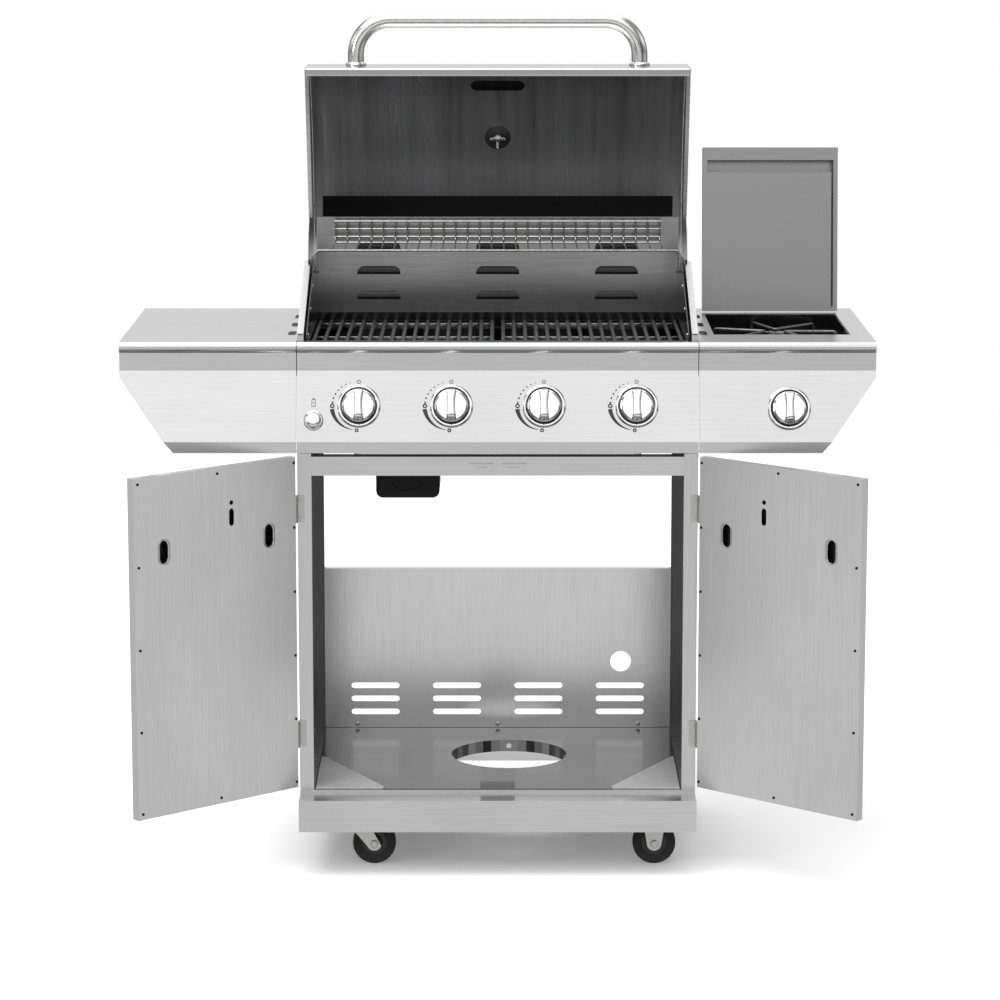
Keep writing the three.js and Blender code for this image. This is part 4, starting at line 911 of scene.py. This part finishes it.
# %% Rack
low, high = box("warming_rack")
y_front, y_back, z_top = low[1] + 2, high[1] - 2, high[2] - 2
z_shelf = z_top - 38
wire_count, wire_pitch = 28, 21.85
xs = (np.arange(wire_count) - (wire_count - 1) / 2) * wire_pitch
bent = [(0, y_front, z_shelf + 1.5), (0, y_back - 1.5, z_shelf + 1.5), (0, y_back - 1.5, z_top)]
wire = tube(smooth_path(bent, 9, 8), 1.5, 8, X)
cross_at = ((y_back, z_top), (y_back, z_top - 14), (y_back, z_top - 28), (y_back - 3, z_shelf - 0.3))
cross = [tube([(-298, y, z), (298, y, z)], 1.7, 10, Z) for y, z in cross_at]
hook = high[0] - 2
rail_line = [(x, y_front, z) for x, z in ((-hook, low[2]), (-hook, z_shelf), (hook, z_shelf), (hook, low[2]))]
front_rail = tube(smooth_path(rail_line, 8, 8), 2, 12, Y)
piece("rack_wires", [row(wire, xs[:, None] * X), *cross, front_rail], "warming_rack", wire_chrome,
      replaces=["warming_rack"])

# %% [markdown]
# ## Side burner
# Under the small lid sits a cast burner: a ring of thirty-six flame ports below a round cap. Its
# feed tube is a cubic curve from the shelf's gas valve to the head.

# %% Side burner
low, high = box("trivet")
cx, cy = (low[0] + high[0]) / 2, (low[1] + high[1]) / 2
bowl = box("side_burner_bowl")[0][2]
head = [(26, -20), (29, -14), (29, 4), (43, 12), (44, 13), (44, 16.5),
        (40, 17), (40, 18.5), (42.5, 19), (42, 22), (37, 24.5), (20, 25)]
port_points, port_faces = lathe([(1.5, 0), (1.5, 1.2), (1.1, 1.2)], vec(43.2, 0, 14.8), X, 6)
burner_middle = vec(cx, cy, bowl)
ports = [(spin(port_points, a) + burner_middle, port_faces) for a in full_turn(36)]
t = np.linspace(0, 1, 24)[:, None]
a = vec(500, box("side_burner")[0][1] + 32, 812)
b, c, d = a + vec(0, 90, -10), burner_middle - 106 * Z, burner_middle - 12 * Z
feed = (1 - t) ** 3 * a + 3 * (1 - t) ** 2 * t * b + 3 * (1 - t) * t**2 * c + t**3 * d
valve_place = panel_place(*panel_frame("knob_5_turn", panel_sunk))
valve = turned([(9, -40), (10, -38), (10, -18), (8, -16.2)], valve_place, 24)
parts = [lathe(head, burner_middle, Z, 56), tube(feed, 10, 20, X), valve, *ports]
piece("side_burner_head", parts, "frame", cast_iron, replaces=["side_burner"])

# %% [markdown]
# ## Pan support
# The pan support is bent from four V-shaped rods whose points meet over the burner and whose ends
# turn down; an oval hoop is welded under the points.

# %% Pan support
low, high = low + 3, high - 3
(x0, y0, floor_z), (x1, y1, top_z) = low, high
vees = [((x0, cy + 42), (cx - 17, cy + 8), (x0 + 26, y0 + 40)),
        ((x1, cy + 2), (cx + 15, cy + 4), (x1 - 62, y0 + 36)),
        ((x0 + 76, y1 - 2), (cx, cy + 30), (x1 - 32, y1 - 22)),
        ((cx - 52, y0 + 14), (cx, cy - 24), (cx + 44, y0 + 12))]


def bent_wire(path, radius, sides=12):
    """A wire bent in more than one plane: the ring's axes are the tangent crossed with a fixed
    slanted direction, which no run of the wire is parallel to."""
    tangent = units(np.gradient(path, axis=0))
    u = units(np.cross(tangent, vec(0.31, 0.47, 0.83)))
    v = np.cross(tangent, u)
    t = full_turn(sides)[None, :, None]
    return grid(path[:, None] + radius * (np.cos(t) * u[:, None] + np.sin(t) * v[:, None]))


def hoop(wire_radius=2.4):
    """A wire ring on an oval of half axes 34 and 30: each section points out of the oval and up."""
    t, s = full_turn(32), full_turn(10)[None, :, None]
    outwards = spread(np.cos(t), np.sin(t), 0)
    line = outwards * vec(34, 30, 0) + vec(cx, cy + 4, top_z - 5.2)
    section = np.cos(s) * outwards[:, None] + np.sin(s) * Z
    return grid(line[:, None] + wire_radius * section, closed_rows=True)


def vee(start, point, end):
    """Up from the bowl's floor, over to the point, back, and down again."""
    line = [(*start, floor_z), (*start, top_z), (*point, top_z), (*end, top_z), (*end, floor_z)]
    return bent_wire(smooth_path(line, 9, 7), 3)


wires = [vee(*corners) for corners in vees]
piece("trivet_wires", [*wires, hoop()], "trivet", rod_enamel, replaces=["trivet"])

# %% [markdown]
# ## Casters
# A caster wheel is a rubber tyre moulded on a nylon hub. Both are lathe profiles on one axle; the
# tread is slightly crowned, and the hub is dished. Two zinc nuts hold each fork's axle.

# %% Wheels
wheel_radius, nut_reach = 38, 16
tyre = [(21.8, -8.6), (29, -10.2), (34, -12), (36.6, -11), (37.7, -8), (38, 0),
        (37.7, 8), (36.6, 11), (34, 12), (29, 10.2), (21.8, 8.6)]
hub = [(4.4, -11.5), (11.5, -11.5), (12.6, -9.6), (14.5, -7.2), (21.9, -7.6), (21.9, 7.6), (14.5, 7.2),
       (12.6, 9.6), (11.5, 11.5), (4.4, 11.5)]
axle_nut = [(7, 0.1), (7, 3.4), (6, 4.2)]
for end_name in ("front", "rear"):
    for side_name, _ in SIDES:
        name = f"wheel_{end_name}_{side_name}"
        low, high = box(name)
        centre = vec(*((low + high) / 2)[:2], wheel_radius)
        parts = [lathe(profile, centre, Y, ring=True) for profile in (tyre, hub)]
        piece(f"{name}_tyre", parts, name, rubber,
              replaces=[name], finishes=[0, 1], extra=[hub_nylon])
        body = f"caster_{end_name}_left" if side_name == "left" else "frame"
        nuts = [lathe(axle_nut, centre + s * nut_reach * Y, s * Y, 6) for s in (-1, 1)]
        piece(f"axle_nuts_{end_name}_{side_name}", nuts, body, zinc)

# %% [markdown]
# ## Doors
# The open doors show their inner plates: small screws round the edge and two rimmed slots where
# the outer handle's posts come through. Positions are written for a closed door and swung open
# about the hinge by the joint's own angle.

# %% Door fittings
swing = math.radians(-joints["door_left_hinge"]["range_deg"][0])
hinge = pivot("door_left_hinge")
door_low, door_high = box("door_left")
door_floor, door_top = door_low[2], door_high[2]
tall = door_top - door_floor
inner_face, door_depth = 6.5, 16
outer_face = inner_face - door_depth
handle_z = door_top - 130
post_distances = (62.5, 284.5)


def on_door(side, p):
    """(distance from the hinge, inwards, height) of the closed left door, opened by the swing,
    mirrored for the right one."""
    x = hinge[0] + p[..., 0] * math.cos(swing) + p[..., 1] * math.sin(swing)
    y = hinge[1] - p[..., 0] * math.sin(swing) + p[..., 1] * math.cos(swing)
    return spread(-side * x, y, p[..., 2])


def door_place(side, u, z):
    """Flat outlines on the inner plate: x runs from the hinge, y up, height out of the plate."""
    return lambda p: on_door(side, spread(p[..., 0] + u, inner_face + p[..., 2], p[..., 1] + z))


def slot_rim():
    """A raised rim: the outer outline low and high, then the inner outline high and low."""
    outer, inner = bar_outline(45, 24), bar_outline(41, 20)
    flat = np.stack([outer, outer, inner, inner])
    return spread(flat[..., 1], flat[..., 0], vec(0.1, 0.9, 0.9, 0.1)[:, None])


def handle_bar(axis, start, end):
    """A round bar of 8 mm radius along the door, whose ends are drawn in to a soft dome."""
    near = vec(0, 0.35, 1.3, 3.0)
    along = np.concatenate([start + near, end - near[::-1]])[:, None]
    radius = vec(5.4, 6.6, 7.6, 8, 8, 7.6, 6.6, 5.4)[:, None]
    t = full_turn(28)
    return spread(along, axis + radius * np.cos(t), handle_z + radius * np.sin(t))


def handle_post(axis, u):
    """A post from the bar to the door, widened to a foot over its last two millimetres."""
    depth = vec(axis, outer_face - 2.5, outer_face - 2.0, outer_face - 0.4)[:, None]
    radius = vec(6, 6, 9, 9.5)[:, None]
    t = full_turn(28)
    return spread(u + radius * np.cos(t), depth, handle_z + radius * np.sin(t))


spots = [(8, door_floor + 10 + k * (tall - 20) / 5) for k in range(6)]
spots += [(337, door_floor + 10 + k * (tall - 20) / 4) for k in range(5)]
spots += [(172, door_floor + 10), (172, door_top - 10)]
bar_axis = outer_face - 38.3
for side_name, side in SIDES:
    heads = [turned([(2.4, 0.1), (2.4, 0.8), (1.6, 1.2)], door_place(side, u, z), 12) for u, z in spots]
    piece(f"door_screws_{side_name}", heads, f"door_{side_name}", powder)
    rims = [grid(door_place(side, u, handle_z)(slot_rim()), closed_rows=True) for u in post_distances]
    piece(f"handle_slot_rims_{side_name}", rims, f"door_{side_name}", zinc)
    bar = handle_bar(bar_axis, post_distances[0] - 18, post_distances[1] + 18)
    shapes = [bar] + [handle_post(bar_axis, u) for u in post_distances]
    handle = [grid(on_door(side, shape)) for shape in shapes]
    piece(f"door_handle_bar_{side_name}", handle, f"door_{side_name}", tube_steel,
          replaces=[f"door_handle_{side_name}"])

# %% [markdown]
# ## Cabinet screws
# Hinge leaves, the rear panel and the firebox ends are screwed on. Each head is a small lathe
# profile; only the hinge screws are nearly flush, because the doors pass close by.

# %% Cabinet screws
flush_head = [(2.8, 0.0), (2.6, 0.3), (1.6, 0.45)]
panel_head = [(4.2, 0.1), (4.0, 1.2), (2.6, 1.9)]
end_head = [(3.4, 0.1), (3.2, 0.9), (2.0, 1.5)]
hinge_boxes = [(name, side, *box(f"hinge_{level}_{name}"))
               for level in ("lower", "upper") for name, side in SIDES]
screws = []
for _, side, low, high in hinge_boxes:
    for dz in (-15, 15):
        seat = vec(side * 340.5, high[1] - 1.4, (low[2] + high[2]) / 2 + dz)
        screws.append(lathe(flush_head, seat, -Y, 14))
rear_face = box("rear_panel")[1][1] - 1.5
screws += [lathe(panel_head, vec(x, rear_face, 149.5), -Y, 16) for x in (-262, 0, 262)]
for _, side in SIDES:
    for y, z in ((-104, 930), (-14, 964), (66, 995)):
        screws.append(lathe(end_head, vec(side * 328.5, y, z), -side * X, 14))
piece("cabinet_screws", screws, "frame", zinc)

# %% [markdown]
# ## Gussets, catches and stops
# Triangular gussets stiffen the front corners of the floor, two magnet catches sit under the
# header, and a black stop at either side meets the open lid. The grease cup has a rolled bead.

# %% Gussets, catches, stops and bead
floor_low, floor_high = box("bottom_panel")
floor_top = floor_high[2] - 13
gusset_front = floor_low[1] + 1.8
gusset_back = floor_low[1] + 222
gussets = []
for _, side in SIDES:
    web = [(318, gusset_front), (200, gusset_front), (198, gusset_front + 4),
           (314, gusset_back), (318, gusset_back)]
    flange = rectangle(318, 200, gusset_front - 1.6, gusset_front - 0.2)
    gussets.append(plate(np.array(web) * [side, 1], floor_top + 0.2, floor_top + 2.2))
    gussets.append(plate(flange * [side, 1], floor_top - 4, floor_top + 2.2))
piece("floor_gussets", gussets, "frame", gusset_steel)


def header_place(p):
    """x across, y up, height forwards from the header's front."""
    return spread(p[..., 0], header_front - p[..., 2], p[..., 1])


header_front = box("header_beam")[0][1]
catches = []
for _, side in SIDES:
    for width, z, height in ((41, 719, 2.4), (19, 712, 2.0)):
        middle = side * 28
        bar = rectangle(middle - width / 2, middle + width / 2, z - height / 2, z + height / 2)
        catches.append(plate(bar, 0.05, 0.7, header_place, 0.2))
piece("door_catches", catches, "frame", zinc)

stop_middle, stop_half = 336, 1.6
stops = [flat_bar(side * stop_middle - stop_half, side * stop_middle + stop_half, 92, 103, 1028, 1038.6)
         for _, side in SIDES]
piece("lid_stops", stops, "frame", powder)

bead_y = box("grease_cup")[0][1] + 0.2
bead = [(-184, bead_y, 667.3), (-172, bead_y, 656.7), (-145, bead_y, 656.7), (-129, bead_y, 667.3)]
piece("cup_bead", [tube(smooth_path(bead, 5), 1.0, 10, Y)], "grease_cup", powder)

# %% [markdown]
# ## Hinge knuckles
# A butt hinge's barrel is rolled in short knuckles that belong to the door and the post in turn.
# Thin rings a little wider than the barrel mark where one knuckle ends and the next starts.

# %% Knuckles
knuckle = [(3.3, 0), (3.9, 0.3), (3.9, 3.0), (3.3, 3.3)]
knuckles = []
for side_name, _, low, high in hinge_boxes:
    pin = pivot(f"door_{side_name}_hinge")
    for share in (0.08, 0.34, 0.6, 0.86):
        height = low[2] + share * (high[2] - low[2])
        knuckles.append(lathe(knuckle, vec(*pin[:2], height), Z, 20))
piece("hinge_knuckles", knuckles, "frame", zinc)
